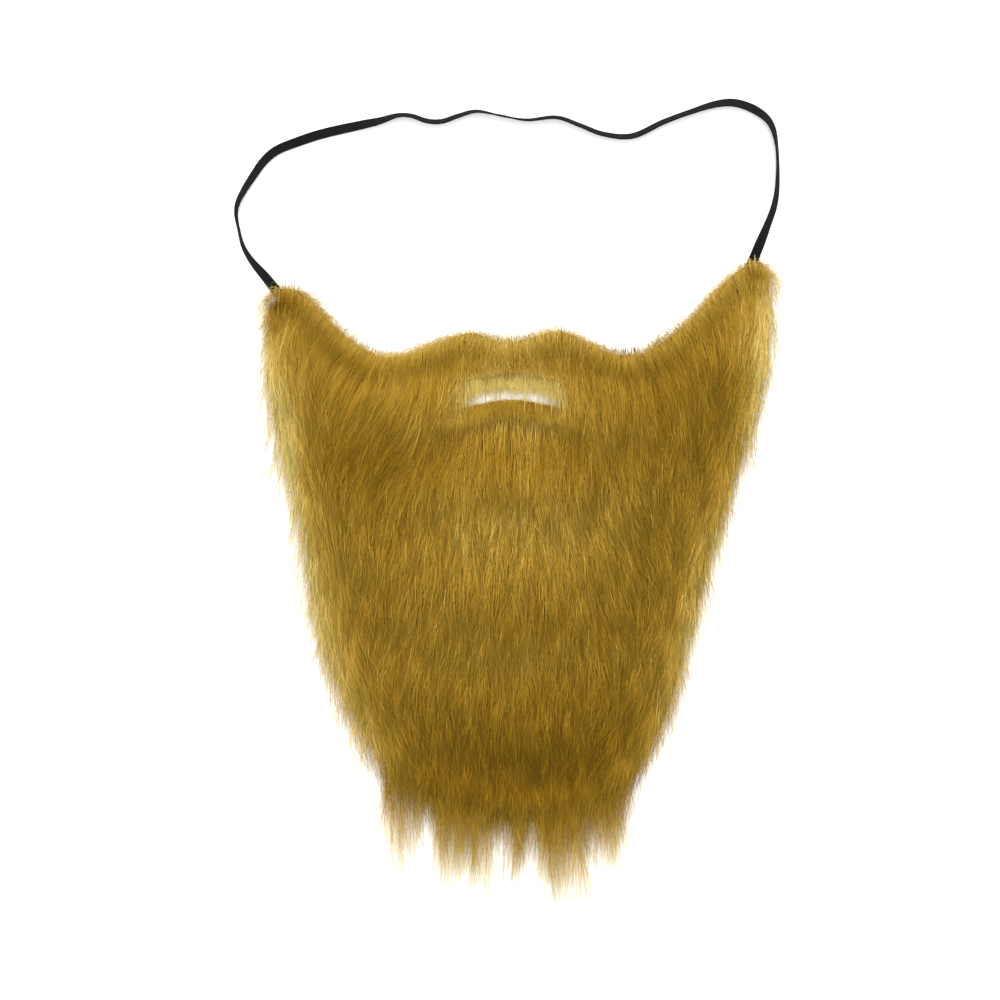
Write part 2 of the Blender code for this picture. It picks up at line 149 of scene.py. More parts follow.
# How the fur is combed. across: share of half the width, down: share of the length, heading:
# degrees from straight down, positive towards +X, weight: how far the place holds its heading
COMB = (
    # place, across, down, heading, weight
    ("left tip", -0.91, 0.09, -4, 0.7),
    ("left tip, inner", -0.80, 0.15, -16, 0.7),
    ("left edge, upper", -0.96, 0.24, -2, 0.7),
    ("left wing, middle", -0.75, 0.20, -34, 1.0),
    ("left wing, inner", -0.58, 0.20, -33, 0.8),
    ("left cheek", -0.66, 0.31, -30, 1.0),
    ("left cheek, edge", -0.90, 0.36, -3, 0.8),
    ("left whirl", -0.50, 0.37, -36, 0.9),
    ("left of the slot", -0.36, 0.27, -14, 0.9),
    ("lip, left", -0.22, 0.18, -8, 0.7),
    ("lip, right", 0.18, 0.18, 6, 0.7),
    ("right of the slot", 0.33, 0.27, 5, 0.9),
    ("right wing, inner", 0.60, 0.20, 16, 0.8),
    ("right tip", 0.94, 0.05, 8, 0.7),
    ("right wing, middle", 0.78, 0.16, 13, 0.8),
    ("right edge, upper", 0.97, 0.16, 0, 0.7),
    ("right cheek", 0.62, 0.32, 12, 1.0),
    ("right cheek, edge", 0.90, 0.30, -6, 0.8),
    ("middle, upper", 0.00, 0.36, 0, 1.0),
    ("left of the middle", -0.35, 0.48, -3, 0.9),
    ("left jaw", -0.66, 0.50, -7, 0.9),
    ("left jaw, edge", -0.84, 0.55, -6, 0.7),
    ("middle bulge", 0.00, 0.50, 1, 1.0),
    ("right of the bulge", 0.32, 0.50, 17, 0.9),
    ("right jaw, upper", 0.50, 0.53, 22, 0.8),
    ("right jaw, edge", 0.78, 0.48, -4, 0.8),
    ("left of the valley", -0.48, 0.66, -16, 0.9),
    ("left chin, edge", -0.66, 0.72, -9, 0.8),
    ("left tier, outer", -0.56, 0.70, -26, 0.7),
    ("middle of the valley", 0.02, 0.66, 1, 1.0),
    ("right of the valley", 0.38, 0.64, 14, 0.9),
    ("right chin, edge", 0.60, 0.72, -5, 0.8),
    ("lower left", -0.38, 0.82, -8, 0.9),
    ("lower middle", 0.00, 0.84, 1, 1.0),
    ("lower right", 0.34, 0.82, 1, 0.9),
    ("lower right, edge", 0.48, 0.86, -12, 0.8),
    ("hem, left", -0.40, 0.97, 0, 0.9),
    ("hem, middle", 0.02, 0.99, 1, 0.9),
    ("hem, right", 0.36, 0.97, -8, 0.9),
)

# Where the fur shows darker or lighter than the rest, mostly painted shade and painted light:
# darker in its valleys, creases, whirl, the stitched dimples and on the chin that slopes away from
# the light, lighter on its bulges, its lower half, round the mouth slot and at its thin edges; a
# few spots are the fur's own tone. Their reaches are in the same shares
PAINTED_SHADE_LIGHT_AND_TONE = (
    # place, across, down, reach_across, reach_down, more
    ("left whirl", -0.54, 0.36, 0.20, 0.045, -0.10),
    ("crease beside the whirl", -0.38, 0.385, 0.20, 0.020, -0.07),
    ("left cheek, lower", -0.70, 0.41, 0.16, 0.060, -0.04),
    ("crease in the left wing", -0.62, 0.20, 0.14, 0.035, -0.07),
    ("left tip stitches", -0.935, 0.088, 0.050, 0.012, -0.60),
    ("right tip stitches", 0.915, 0.036, 0.045, 0.010, -0.50),
    ("right tip", 0.930, 0.030, 0.110, 0.060, 0.14),
    ("right cheek", 0.58, 0.22, 0.22, 0.080, -0.06),
    ("bulge, left", -0.30, 0.44, 0.26, 0.070, 0.05),
    ("bulge, middle", 0.10, 0.48, 0.40, 0.070, 0.07),
    ("right jaw shade", 0.50, 0.56, 0.16, 0.060, -0.05),
    ("valley, left", -0.48, 0.652, 0.16, 0.018, -0.13),
    ("valley, middle", -0.06, 0.648, 0.20, 0.015, -0.17),
    ("valley, right", 0.34, 0.650, 0.24, 0.018, -0.16),
    ("second tier", -0.06, 0.70, 0.42, 0.040, 0.05),
    ("lower fur", 0.00, 0.62, 1.00, 0.28, 0.13),
    ("bulge, highest", 0.02, 0.50, 0.38, 0.085, 0.09),
    ("above the slot", -0.03, 0.211, 0.24, 0.016, -0.15),
    ("below the slot", -0.03, 0.306, 0.36, 0.021, 0.33),
    ("above the bulge", 0.02, 0.355, 0.34, 0.034, -0.07),
    ("left edge", -0.900, 0.31, 0.085, 0.120, 0.17),
    ("right edge", 0.935, 0.17, 0.075, 0.110, 0.24),
    ("lip", -0.05, 0.155, 0.42, 0.022, 0.05),
    ("shaded chin", 0.02, 0.90, 0.58, 0.120, -0.15),
    ("shaded chin, left", -0.38, 0.93, 0.20, 0.040, -0.08),
    ("shaded chin, right", 0.36, 0.82, 0.20, 0.070, -0.06),
    ("hem, upper", 0.0, 0.947, 0.46, 0.024, -0.09),
    ("hem, lower", 0.0, 1.010, 0.60, 0.022, 0.07),
)

# Where the strands fill out the edge beside them more or less than elsewhere
FILL = (
    # place, across, down, reach_across, reach_down, more
    ("right side", 0.80, 0.50, 0.40, 0.36, -0.90),
    ("right chin", 0.55, 0.84, 0.20, 0.12, -0.70),
    ("left jaw, upper", -0.90, 0.44, 0.20, 0.06, -0.40),
    ("left chin", -0.64, 0.80, 0.25, 0.14, 0.80),
)

# Long locks that hang past the hem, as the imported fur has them. length: share of the lock length
LOCK_LENGTH = 0.060
FRINGE = (
    # across, down, length, heading
    (-0.50, 0.905, 0.97, -3),
    (-0.40, 0.930, 0.75, 2),
    (-0.31, 0.940, 0.92, 2),
    (-0.235, 0.945, 0.86, 0),
    (-0.155, 0.950, 0.93, -1),
    (0.00, 0.955, 0.76, 1),
    (0.105, 0.955, 0.90, 1),
    (0.165, 0.955, 0.80, 1),
    (0.21, 0.950, 1.23, 1),
    (0.335, 0.935, 0.78, 1),
    (0.42, 0.905, 0.72, -3),
)

# Loose fibres that stand off the edge. length in metres, heading and bend in degrees
STRAYS = (
    # place, across, down, count, length, heading, bend
    ("left tip, up", -0.97, 0.115, 12, 0.016, -140, 40),
    ("left tip, out", -0.97, 0.140, 22, 0.026, -62, 70),
    ("left cheek, out", -0.97, 0.190, 12, 0.030, -38, 55),
    ("left edge", -0.94, 0.300, 14, 0.030, -22, 30),
    ("left jaw", -0.86, 0.430, 14, 0.032, -18, 22),
    ("left chin", -0.74, 0.660, 24, 0.036, -12, 12),
    ("left chin, low", -0.62, 0.800, 34, 0.042, -7, 8),
    ("lip, left", -0.20, 0.128, 9, 0.009, -165, 30),
    ("lip, right", 0.10, 0.128, 9, 0.009, 168, 30),
    ("right cheek, up", 0.54, 0.150, 40, 0.014, -122, 36),
    ("right wing, up", 0.64, 0.122, 40, 0.014, -126, 32),
    ("right tip, out", 0.98, 0.070, 9, 0.024, 14, -16),
    ("right edge", 0.97, 0.150, 12, 0.022, 6, 12),
    ("right jaw, upper", 0.88, 0.330, 10, 0.030, 14, 20),
    ("right jaw curl", 0.80, 0.430, 12, 0.030, 30, 46),
    ("right jaw", 0.76, 0.560, 12, 0.034, 12, 16),
    ("right chin", 0.62, 0.760, 12, 0.036, 8, 12),
    ("hem, left", -0.52, 0.940, 14, 0.040, -6, 10),
    ("hem, middle", 0.00, 0.990, 14, 0.044, 4, 12),
    ("hem wisp", 0.22, 0.985, 16, 0.060, 9, 14),
)

# Small matted bunches that fill out the ear tips
TUFTS = (
    # place, across, down, count, length, heading, bend, shade, spread
    ("left tip", -0.893, 0.047, 260, 0.0125, -6, 12, 0.66, 0.0024),
    ("left tip, right slope", -0.860, 0.058, 160, 0.0120, -12, 12, 0.62, 0.0027),
    ("left tip, shoulder", -0.975, 0.092, 240, 0.0140, 0, 6, 0.62, 0.0022),
    ("left tip, cut edge", -0.914, 0.053, 70, 0.0090, -37, 4, 0.97, 0.0004),
    ("right tip, corner", 0.955, 0.016, 260, 0.0130, 2, -8, 0.66, 0.0026),
)

# How the fur is grown. Lengths in metres, headings and turns in degrees, shades from 0 to 1
SEED = 7
FIELD_STEP = 0.0015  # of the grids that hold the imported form
FIELD_MARGIN = 0.022  # of those grids past the fur
CLOTH_THICKNESS = 0.0012
KNIT_COLUMN = 0.0011  # between its columns of loops, and its courses
KNIT_COURSE = 0.0009
SLAB_STEP = 0.0027  # of the meshes of the ground cloth and the roots
SLAB_MARGIN = 0.003  # of those meshes past the outline to which they are cut
CUTTER_HALF = 0.1  # half the height of the block that cuts them
SHARP_EDGE = 50  # degrees from which their edges are sharp
MAT_SHARE = 0.62  # of the fur's height that its dense roots fill
MAT_LEAST = 0.0006  # the least height of the fur that they are a share of
MAT_SLOPE = 0.014  # from their thin edge to their full height, and beside the mouth slot
MAT_SLOT_SLOPE = 0.008
MAT_EDGE = 0.0005  # thickness at that edge
MAT_GAP = 0.00002  # over the cloth
MAT_OVERHANG = 0.0016  # of the dense roots past an edge that the fur is combed away from
MAT_INSET = -0.0040  # of the dense roots inside the other edges
ROW_SHARE = 0.87  # of the roots' spacing, between their rows
BODY_SPACING = 0.00117
ROOT_INSET = 0.0004  # in from the cloth's edges, where strands may root
BODY_INSET = 0.004  # in from the cloth's edge, where the body's strands begin
EDGE_SPACING = 0.00104
WALK_STEPS = 36  # of a fine path along the combing
COMB_REACH = 0.006  # within which a place of COMB holds its heading fully
COMB_WAVES = (0.018, 0.006)  # over which the combing wanders
COMB_UNREST = 6.0  # degrees by which it does
GUIDE_TURN = 5.0  # random degrees of a clump's heading
STRAND_TURN = 7.0  # random degrees of a strand's bend
STRAND_WAVER = 0.0005
CLUMP_SHADE = 0.050
STRAND_SHADE = 0.060
PATCH_SHADE = 0.030
PATCH_WAVE = 0.010
EDGE_BAND = 0.013  # in from the cloth's edge, where the finer strands root
EDGE_OVERHANG = 0.0045  # past the cloth's edge that every strand may reach
FILL_OVERHANG = 0.45  # how far FILL tells on what the strands reach past the edge
HOLD_BAND = 0.020  # in from an upright edge, where the combing turns along it
HOLD_SHARE = 0.9
ROLL_REACH = 0.0098  # of the strands that bulge out over an edge that they are combed away from
ROLL_DELAY = 0.015
ROLL_RUN = 0.019
SIDE_REACH = 0.0074  # of the strands that fill out the edge beside them
SIDE_RUN = 0.013
SPLAY_REACH = 0.024  # of the strands that spread out over the other edges
SPLAY_RUN = 0.036
SLOT_BAND = 0.005
SLOT_REACH = 0.0016
SLOT_VEIL = 0.0022  # of the strands over the mouth slot
# Painted light: the fur paler at its thin edges, as light shines through them, less so at the hem
EDGE_PAINTED_GLOW = 0.36  # more, at the edge
HEM_GLOW_LOSS = 0.85  # share of that which the hem doesn't get
EDGE_GLOW_REACH = 0.0085
# Painted light: the fur round the mouth slot paler, as light shines through the thin fur there
SLOT_PAINTED_GLOW = 0.42
SLOT_GLOW_REACH = 0.0058
RIM_POINTS = (0.0, 0.12, 0.28, 0.48, 0.72, 1.0)
RIM_SPACING = 0.00012  # along the upper edge
RIM_REACH = 0.0044  # past the cloth
RIM_LENGTH = 0.016
RIM_FIBRE = 0.00016
RIM_SHADE = 0.52
# Painted light: rim strands paler where they stand out past the cloth, as if lit through
RIM_PAINTED_GLOW = 0.10  # more, where such a strand stands out past the cloth
RIM_DRIFT = 0.0042  # sideways, of a strand that rolls over the edge
LIP_SPACING = 0.00005  # along the mouth slot's lower side
LIP_REACH = 0.0010
LIP_LENGTH = 0.015
FUZZ_SPACING = 0.00060
FUZZ_LENGTH = 0.0045
FUZZ_SHADE = 0.84
VEIL_COUNT = 6400
VEIL_FIBRE = 0.00020
VEIL_LIFT = 1.0  # share of the nearby fur's height at which the strands cross the slot
VEIL_LENGTH = 0.0120
VEIL_SHADE = 0.50
# Painted light: the veil paler towards its tips, as light shines through it, and towards its roots
VEIL_TIP_GLOW = 0.15  # more, towards a strand's tip, and towards its root
VEIL_ROOT_GLOW = 0.14
VEIL_DRAW = 9.0  # radians of turn towards the slot's middle for each metre off it
FUZZ_FIBRE = 0.00016  # widths of strands, each of which stands for a few of the real fibres
STRAY_FIBRE = 0.00022
FRINGE_FIBRE = 0.00015
FRINGE_WISPS = 5
FRINGE_COUNT = 42
FRINGE_WIDTH = 0.0034  # of a lock at its root
HEM_WIDTH = 0.0030
WISP_WAVE = 0.0010  # sideways, of a strand and of a whole lock
WISP_SWAY = 0.0032
WISP_SHADE = 0.54
# Painted light: the fringe paler past the cloth's edge, as light shines through its thin tips
TIP_PAINTED_GLOW = 0.40  # more, at a distance past the cloth's edge
TIP_REACH = 0.036
WISP_TURN = 2.6  # random degrees of a strand's bend out of its lock
FRINGE_DRAW = 700  # degrees of turn towards a lock's middle for each metre off it
HEM_WISPS = 64
HEM_COUNT = 18
FRINGE_POINTS = 5
FRINGE_OVERRUN = 0.016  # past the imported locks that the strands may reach
FUZZ_POINTS = 5
STRAY_POINTS = 6
STRAY_SHADE = 0.86
STRAY_SPREAD = 0.0050
STRAY_TURN = 11  # random degrees of a loose fibre's heading
TUFT_TURN = 14
MAP_WIDTH = 0.02  # of a strand on its map
STRAND_WELD = 0.000002
STRAND_SIDES = 3
BODY_KIND = {
    "points": (0.0, 0.25, 0.62, 1.0),
    "length": 0.052,
    "clump": 0.0034,
    "gather": 0.42,
    "width": 0.00034,
    "proud": 0.0,
    "proud_spread": 0.0005,
    "proud_painted_light": 60.0,
    "settle": 0.003,
    "past_edge": 0.0035,
    "shade": 0.50,
}
EDGE_KIND = {
    "points": (0.0, 0.12, 0.32, 0.64, 1.0),
    "length": 0.050,
    "clump": 0.0040,
    "gather": 0.40,
    "width": 0.00025,
    "proud": 0.0002,
    "proud_spread": 0.0006,
    "proud_painted_light": 50.0,
    "settle": 0.004,
    "past_edge": 0.0090,
    "shade": 0.54,
}

# The pieces that the strands are joined into, by where they root
FUR_REGIONS = (
    # piece, left, right, lowest
    ("fur_left_cheek", -9, -0.36, 0.30),
    ("fur_lip", -0.36, 0.36, 0.36),
    ("fur_right_cheek", 0.36, 9, 0.30),
    ("fur_left_jaw", -9, -0.25, 0.50),
    ("fur_right_jaw", 0.25, 9, 0.50),
    ("fur_chin", -9, 9, 0.60),
    ("fur_under_chin", -9, 9, 0.80),
    ("fur_hem", -9, 9, 9),
)

# The stitches through the ear tips. heading: degrees of the elastic's end there
TACKS = (
    # place, across, down, heading
    ("left tip", -0.937, 0.089, -36),
    ("right tip", 0.918, 0.030, 22),
)
TACK_COUNT = 4
TACK_POINTS = 7
TACK_SIDES = 6
TACK_LENGTH = 0.0050
TACK_SPACING = 0.0011
TACK_SLANT = 0.0008
TACK_THREAD = 0.00050
DIMPLE_DEPTH = 0.0028
DIMPLE_REACH = 0.0050


def beard_point(across, down):
    """X and Y of a place given in shares of half the beard's width and of its length."""
    return across * BEARD_WIDTH / 2, BEARD_TOP - down * BEARD_LENGTH


def photo_point(column, row):
    """X and Y under a pixel of the photograph."""
    return (column - ORIGIN_PIXEL[0]) * PIXEL, (ORIGIN_PIXEL[1] - row) * PIXEL


def ease(share):
    """Shares from 0 to 1, held inside that range and eased at both ends."""
    share = np.clip(share, 0, 1)
    return share * share * (3 - 2 * share)


def smooth_path(points, steps):
    """Points of an open Catmull-Rom curve through the given ones."""
    points = np.array(points, float)
    near = np.vstack([points[:1], points, points[-1:]])
    share = np.arange(steps)[:, None] / steps
    weights = (
        -0.5 * share + share**2 - 0.5 * share**3,
        1 - 2.5 * share**2 + 1.5 * share**3,
        0.5 * share + 2 * share**2 - 1.5 * share**3,
        -0.5 * share**2 + 0.5 * share**3,
    )
    spans = [
        sum(weight * near[span + place] for place, weight in enumerate(weights))
        for span in range(len(points) - 1)
    ]
    return np.vstack(spans + [points[-1:]])


def put_in(name, mesh, material=None):
    """A new object of a mesh, at the origin."""
    made = bpy.data.objects.new(name, mesh)
    bpy.context.scene.collection.objects.link(made)
    if material:
        mesh.materials.append(material)
    return made


def mesh_of(name, points, faces, edges=()):
    """A mesh of points and faces or edges."""
    mesh = bpy.data.meshes.new(name)
    mesh.from_pydata([tuple(point) for point in points], [tuple(edge) for edge in edges], faces)
    mesh.update()
    return mesh


def finished(holder):
    """The mesh that an object's curve or modifiers give. The object itself goes."""
    seen = holder.evaluated_get(bpy.context.evaluated_depsgraph_get())
    mesh = bpy.data.meshes.new_from_object(seen)
    bpy.data.objects.remove(holder)
    return mesh


def turn_outwards(mesh, weld=0.0):
    """Turns a closed mesh's faces outwards, its points within a distance made one before that."""
    shape = bmesh.new()
    shape.from_mesh(mesh)
    if weld:
        bmesh.ops.remove_doubles(shape, verts=shape.verts[:], dist=weld)
    bmesh.ops.recalc_face_normals(shape, faces=shape.faces[:])
    shape.to_mesh(mesh)
    shape.free()


def make_camera():
    """Straight above the beard, as the photograph was taken."""
    camera = bpy.data.cameras.new("camera over the beard")
    camera.sensor_width = SENSOR
    camera.lens = SENSOR * CAMERA_HEIGHT / (PHOTO_SIDE * PIXEL)
    made = bpy.data.objects.new("camera over the beard", camera)
    middle_x, middle_y = photo_point(PHOTO_SIDE / 2, PHOTO_SIDE / 2)
    made.location = (middle_x, middle_y, CAMERA_HEIGHT)
    bpy.context.scene.collection.objects.link(made)
    bpy.context.scene.camera = made


def make_area_light(name, place, aim, size, power, color):
    """A soft square light."""
    light = bpy.data.lights.new(name, "AREA")
    light.shape = "SQUARE"
    light.size = size
    light.energy = power
    light.color = color
    made = bpy.data.objects.new(name, light)
    made.location = place
    made.rotation_euler = (Vector(aim) - Vector(place)).to_track_quat("-Z", "Y").to_euler()
    bpy.context.scene.collection.objects.link(made)


def make_studio():
    """A pale floor, white surroundings and soft lights, the main one beyond the elastic."""
    world = bpy.data.worlds.new("studio")
    world.use_nodes = True
    sky = world.node_tree.nodes["Background"]
    sky.inputs["Color"].default_value = (*SKY_COLOR, 1)
    sky.inputs["Strength"].default_value = SKY_STRENGTH
    bpy.context.scene.world = world
    for light in LIGHTS:
        make_area_light(*light)
    floor = put_in("floor", bpy.data.meshes.new("floor"), floor_material())
    shape = bmesh.new()
    bmesh.ops.create_grid(shape, x_segments=1, y_segments=1, size=FLOOR_HALF)
    bmesh.ops.translate(shape, verts=shape.verts[:], vec=(0, 0, -FLOOR_GAP))
    shape.to_mesh(floor.data)
    shape.free()
    bpy.context.scene.view_settings.view_transform = "Standard"


def new_material(name):
    """A material, its shader and its node tree."""
    material = bpy.data.materials.new(name)
    material.use_nodes = True
    tree = material.node_tree
    return material, tree.nodes["Principled BSDF"], tree


def add(tree, kind, **values):
    """A node of a tree, with some of its values set."""
    made = tree.nodes.new(kind)
    for name, value in values.items():
        setattr(made, name, value)
    return made


def own_place(tree, map_name=None):
    """The X, Y and Z of a surface's own coordinates, or of one of its maps."""
    if map_name:
        source = add(tree, "ShaderNodeUVMap", uv_map=map_name).outputs["UV"]
    else:
        source = tree.nodes.new("ShaderNodeTexCoord").outputs["Object"]
    parts = tree.nodes.new("ShaderNodeSeparateXYZ")
    tree.links.new(source, parts.inputs["Vector"])
    return parts.outputs


def texture(tree, kind, scale, detail=2, stretch=(1, 1, 1)):
    """The values of a texture on the object's own coordinates, stretched along its axes."""
    place = tree.nodes.new("ShaderNodeMapping")
    place.inputs["Scale"].default_value = stretch
    own = tree.nodes.new("ShaderNodeTexCoord").outputs["Object"]
    tree.links.new(own, place.inputs["Vector"])
    made = tree.nodes.new(kind)
    made.inputs["Scale"].default_value = scale
    made.inputs["Detail"].default_value = detail
    tree.links.new(place.outputs["Vector"], made.inputs["Vector"])
    return made.outputs["Fac"]


def ramp(tree, stops):
    """A colour ramp of (place, colour) stops."""
    made = tree.nodes.new("ShaderNodeValToRGB")
    elements = made.color_ramp.elements
    while len(elements) < len(stops):
        elements.new(0.5)
    for element, (place, color) in zip(elements, stops):
        element.position = place
        element.color = (*color, 1)
    return made


def color_by(tree, surface, level, stops, roughness):
    """Gives a surface the colours of a ramp over a level, and a roughness."""
    shade = ramp(tree, stops)
    tree.links.new(level, shade.inputs["Fac"])
    tree.links.new(shade.outputs["Color"], surface.inputs["Base Color"])
    surface.inputs["Roughness"].default_value = roughness


def math_node(tree, operation, first, second=None):
    """A math node on sockets or numbers."""
    made = tree.nodes.new("ShaderNodeMath")
    made.operation = operation
    for socket, value in zip(made.inputs, (first, second)):
        if isinstance(value, bpy.types.NodeSocket):
            tree.links.new(value, socket)
        elif value is not None:
            socket.default_value = value
    return made.outputs[0]


def add_bump(tree, surface, height, distance):
    """A bump from a height socket."""
    bump = tree.nodes.new("ShaderNodeBump")
    bump.inputs["Distance"].default_value = distance
    bump.inputs["Strength"].default_value = 1
    tree.links.new(height, bump.inputs["Height"])
    tree.links.new(bump.outputs["Normal"], surface.inputs["Normal"])


def floor_material():
    """Plain pale paper."""
    material, surface, tree = new_material("pale paper")
    grain = texture(tree, "ShaderNodeTexNoise", 900)
    color_by(tree, surface, grain, [(0.3, (0.90, 0.90, 0.90)), (0.7, (0.92, 0.92, 0.92))], 0.8)
    return material


# Colours of the fur, from its shaded depths to its palest tips
FUR_STOPS = (
    (0.00, (0.117, 0.047, 0.0002)),
    (0.25, (0.188, 0.089, 0.0007)),
    (0.50, (0.298, 0.165, 0.0088)),
    (0.70, (0.408, 0.240, 0.0260)),
    (0.85, (0.545, 0.352, 0.0530)),
    (1.00, (0.730, 0.575, 0.1850)),
)
# What its colour is multiplied by from a strand's root to its tip: darker towards the root, painted
# shade deep in the pile, and olive towards the tip
ROOT_SHADE_AND_TIP_TINTS = (
    (0.00, (0.78, 0.76, 0.70)),
    (0.30, (0.94, 0.94, 0.92)),
    (0.65, (1.00, 1.00, 1.00)),
    (1.00, (0.80, 0.90, 0.80)),
)
STRAND_MAP = "OFBake"  # a strand's own map: its shade across, from its root to its tip upwards


def fur_material():
    """Combed synthetic fur: each strand has its own shade and is darker towards its root, painted
    shade of the deep pile.
    """
    material, surface, tree = new_material("combed fur")
    place = own_place(tree, STRAND_MAP)
    blend = add(tree, "ShaderNodeMix", data_type="RGBA", blend_type="MULTIPLY")
    blend.inputs["Factor"].default_value = 1
    for axis, stops, side in (("X", FUR_STOPS, "A"), ("Y", ROOT_SHADE_AND_TIP_TINTS, "B")):
        shade = ramp(tree, stops)
        tree.links.new(place[axis], shade.inputs["Fac"])
        tree.links.new(shade.outputs["Color"], blend.inputs[side])
    tree.links.new(blend.outputs["Result"], surface.inputs["Base Color"])
    surface.inputs["Roughness"].default_value = 0.6
    surface.inputs["Specular IOR Level"].default_value = 0.10
    return material


def mat_material():
    """The fur's dense roots, streaked along the combing, which show only between the strands."""
    material, surface, tree = new_material("fur roots")
    streaks = texture(tree, "ShaderNodeTexNoise", 1, detail=3, stretch=(1500, 160, 700))
    stops = [(0.30, (0.134, 0.063, 0.0025)), (0.70, (0.275, 0.150, 0.0083))]
    color_by(tree, surface, streaks, stops, 0.85)
    add_bump(tree, surface, streaks, 0.0006)
    return material


def knit_material():
    """The knitted ground of the fur cloth: fine columns of loops in a pale tan yarn."""
    material, surface, tree = new_material("knitted ground")
    place = own_place(tree)
    column = math_node(tree, "MULTIPLY", place["X"], 2 * math.pi / KNIT_COLUMN)
    course = math_node(tree, "MULTIPLY", place["Y"], 2 * math.pi / KNIT_COURSE)
    ribs = math_node(tree, "SINE", column)
    leaned = math_node(tree, "ADD", course, math_node(tree, "MULTIPLY", ribs, 1.3))
    loops = math_node(tree, "SINE", leaned)
    height = math_node(tree, "ADD", math_node(tree, "MULTIPLY", ribs, 0.6), loops)
    yarn = texture(tree, "ShaderNodeTexNoise", 260, detail=4)
    level = math_node(tree, "ADD", math_node(tree, "MULTIPLY", height, 0.12), yarn)
    color_by(tree, surface, level, [(0.25, (0.40, 0.27, 0.11)), (0.75, (0.70, 0.54, 0.30))], 0.9)
    surface.inputs["Sheen Weight"].default_value = 0.2
    add_bump(tree, surface, height, 0.00018)
    return material


def elastic_material():
    """Black braided elastic with a blue cast: threads cross each rib in turn."""
    material, surface, tree = new_material("braided elastic")
    place = own_place(tree, BRAID_MAP)
    rib = math_node(tree, "MULTIPLY", place["X"], ELASTIC_RIBS)
    along = math_node(tree, "MULTIPLY", place["Y"], 1 / BRAID_STEP)
    crossing = math_node(tree, "ADD", along, math_node(tree, "PINGPONG", rib, 1))
    threads, grooves = (
        math_node(tree, "SINE", math_node(tree, "MULTIPLY", phase, math.pi))
        for phase in (crossing, rib)
    )
    threads = math_node(tree, "MULTIPLY", threads, 0.5)
    height = math_node(tree, "ADD", threads, math_node(tree, "ABSOLUTE", grooves))
    level = math_node(tree, "MULTIPLY", height, 0.6)
    stops = [(0.0, (0.0005, 0.0007, 0.0010)), (1.0, (0.0025, 0.0034, 0.0052))]
    color_by(tree, surface, level, stops, 0.62)
    surface.inputs["Specular IOR Level"].default_value = 0.14
    add_bump(tree, surface, height, 0.00012)
    return material


def thread_material():
    """Dark sewing thread, twisted."""
    material, surface, tree = new_material("sewing thread")
    twist = texture(tree, "ShaderNodeTexWave", 900)
    color_by(tree, surface, twist, [(0, (0.030, 0.014, 0.004)), (1, (0.085, 0.042, 0.012))], 0.6)
    return material


def band_path():
    """Points of the elastic's middle line, with the lean at each in radians."""
    route = smooth_path(ELASTIC_ROUTE, ELASTIC_STEPS)
    lean = np.radians(route[:, 2])
    flat_half = (ELASTIC_WIDTH - ELASTIC_THICKNESS) / 2
    height = flat_half * np.sin(lean) + ELASTIC_THICKNESS / 2
    return np.column_stack([route[:, :2], height]), lean


def band_section():
    """The band's outline across, as (side, up) in metres: ribs on both faces and round edges."""
    half_width = ELASTIC_WIDTH / 2
    half_height = ELASTIC_THICKNESS / 2
    points = []
    for face in (1, -1):
        for step in range(ELASTIC_RIBS * 4 + 1):
            share = step / (ELASTIC_RIBS * 4)
            groove = abs(math.cos(share * ELASTIC_RIBS * math.pi)) ** 3
            round_off = math.sqrt(max(0.0, 1 - max(0.0, (abs(2 * share - 1) - 0.9) / 0.1) ** 2))
            up = (half_height - RIB_DEPTH * groove) * (0.25 + 0.75 * round_off)
            points.append((face * (2 * share - 1) * half_width, face * up))
    return points


def make_elastic(material):
    """The braided elastic, the loose flat cord that it is."""
    path, lean = band_path()
    along = np.gradient(path[:, :2], axis=0)
    along /= np.linalg.norm(along, axis=1)[:, None]
    aside = np.column_stack([-along[:, 1], along[:, 0]])
    section = np.array(band_section())
    side = section[:, 0][None, :, None]
    up = section[:, 1][None, :, None]
    flat = np.concatenate([aside, np.zeros((len(path), 1))], axis=1)[:, None, :]
    upward = np.array([0.0, 0.0, 1.0])
    cos, sin = np.cos(lean)[:, None, None], np.sin(lean)[:, None, None]
    rings = path[:, None, :] + side * (cos * flat + LEAN_SIDE * sin * upward)
    rings = rings + up * (cos * upward - LEAN_SIDE * sin * flat)
    count = len(section)
    faces = []
    for base in range(0, (len(path) - 1) * count, count):
        for index in range(count):
            near, after = base + index, base + (index + 1) % count
            faces.append((near, after, after + count, near + count))
    faces.append(tuple(range(count - 1, -1, -1)))
    faces.append(tuple(range((len(path) - 1) * count, len(path) * count)))
    mesh = mesh_of("elastic", rings.reshape(-1, 3), faces)
    travelled = np.concatenate([[0], np.cumsum(np.linalg.norm(np.diff(path, axis=0), axis=1))])
    across = np.tile(section[:, 0] / ELASTIC_WIDTH + 0.5, len(path))
    upto = np.repeat(travelled, count)
    layer = mesh.uv_layers.new(name=BRAID_MAP)
    corner = np.empty(len(mesh.loops), np.int32)
    mesh.loops.foreach_get("vertex_index", corner)
    places = np.column_stack([across[corner], upto[corner]])
    layer.uv.foreach_set("vector", places.astype(np.float32).ravel())
    turn_outwards(mesh)
    mesh.shade_smooth()
    return put_in("elastic", mesh, material)


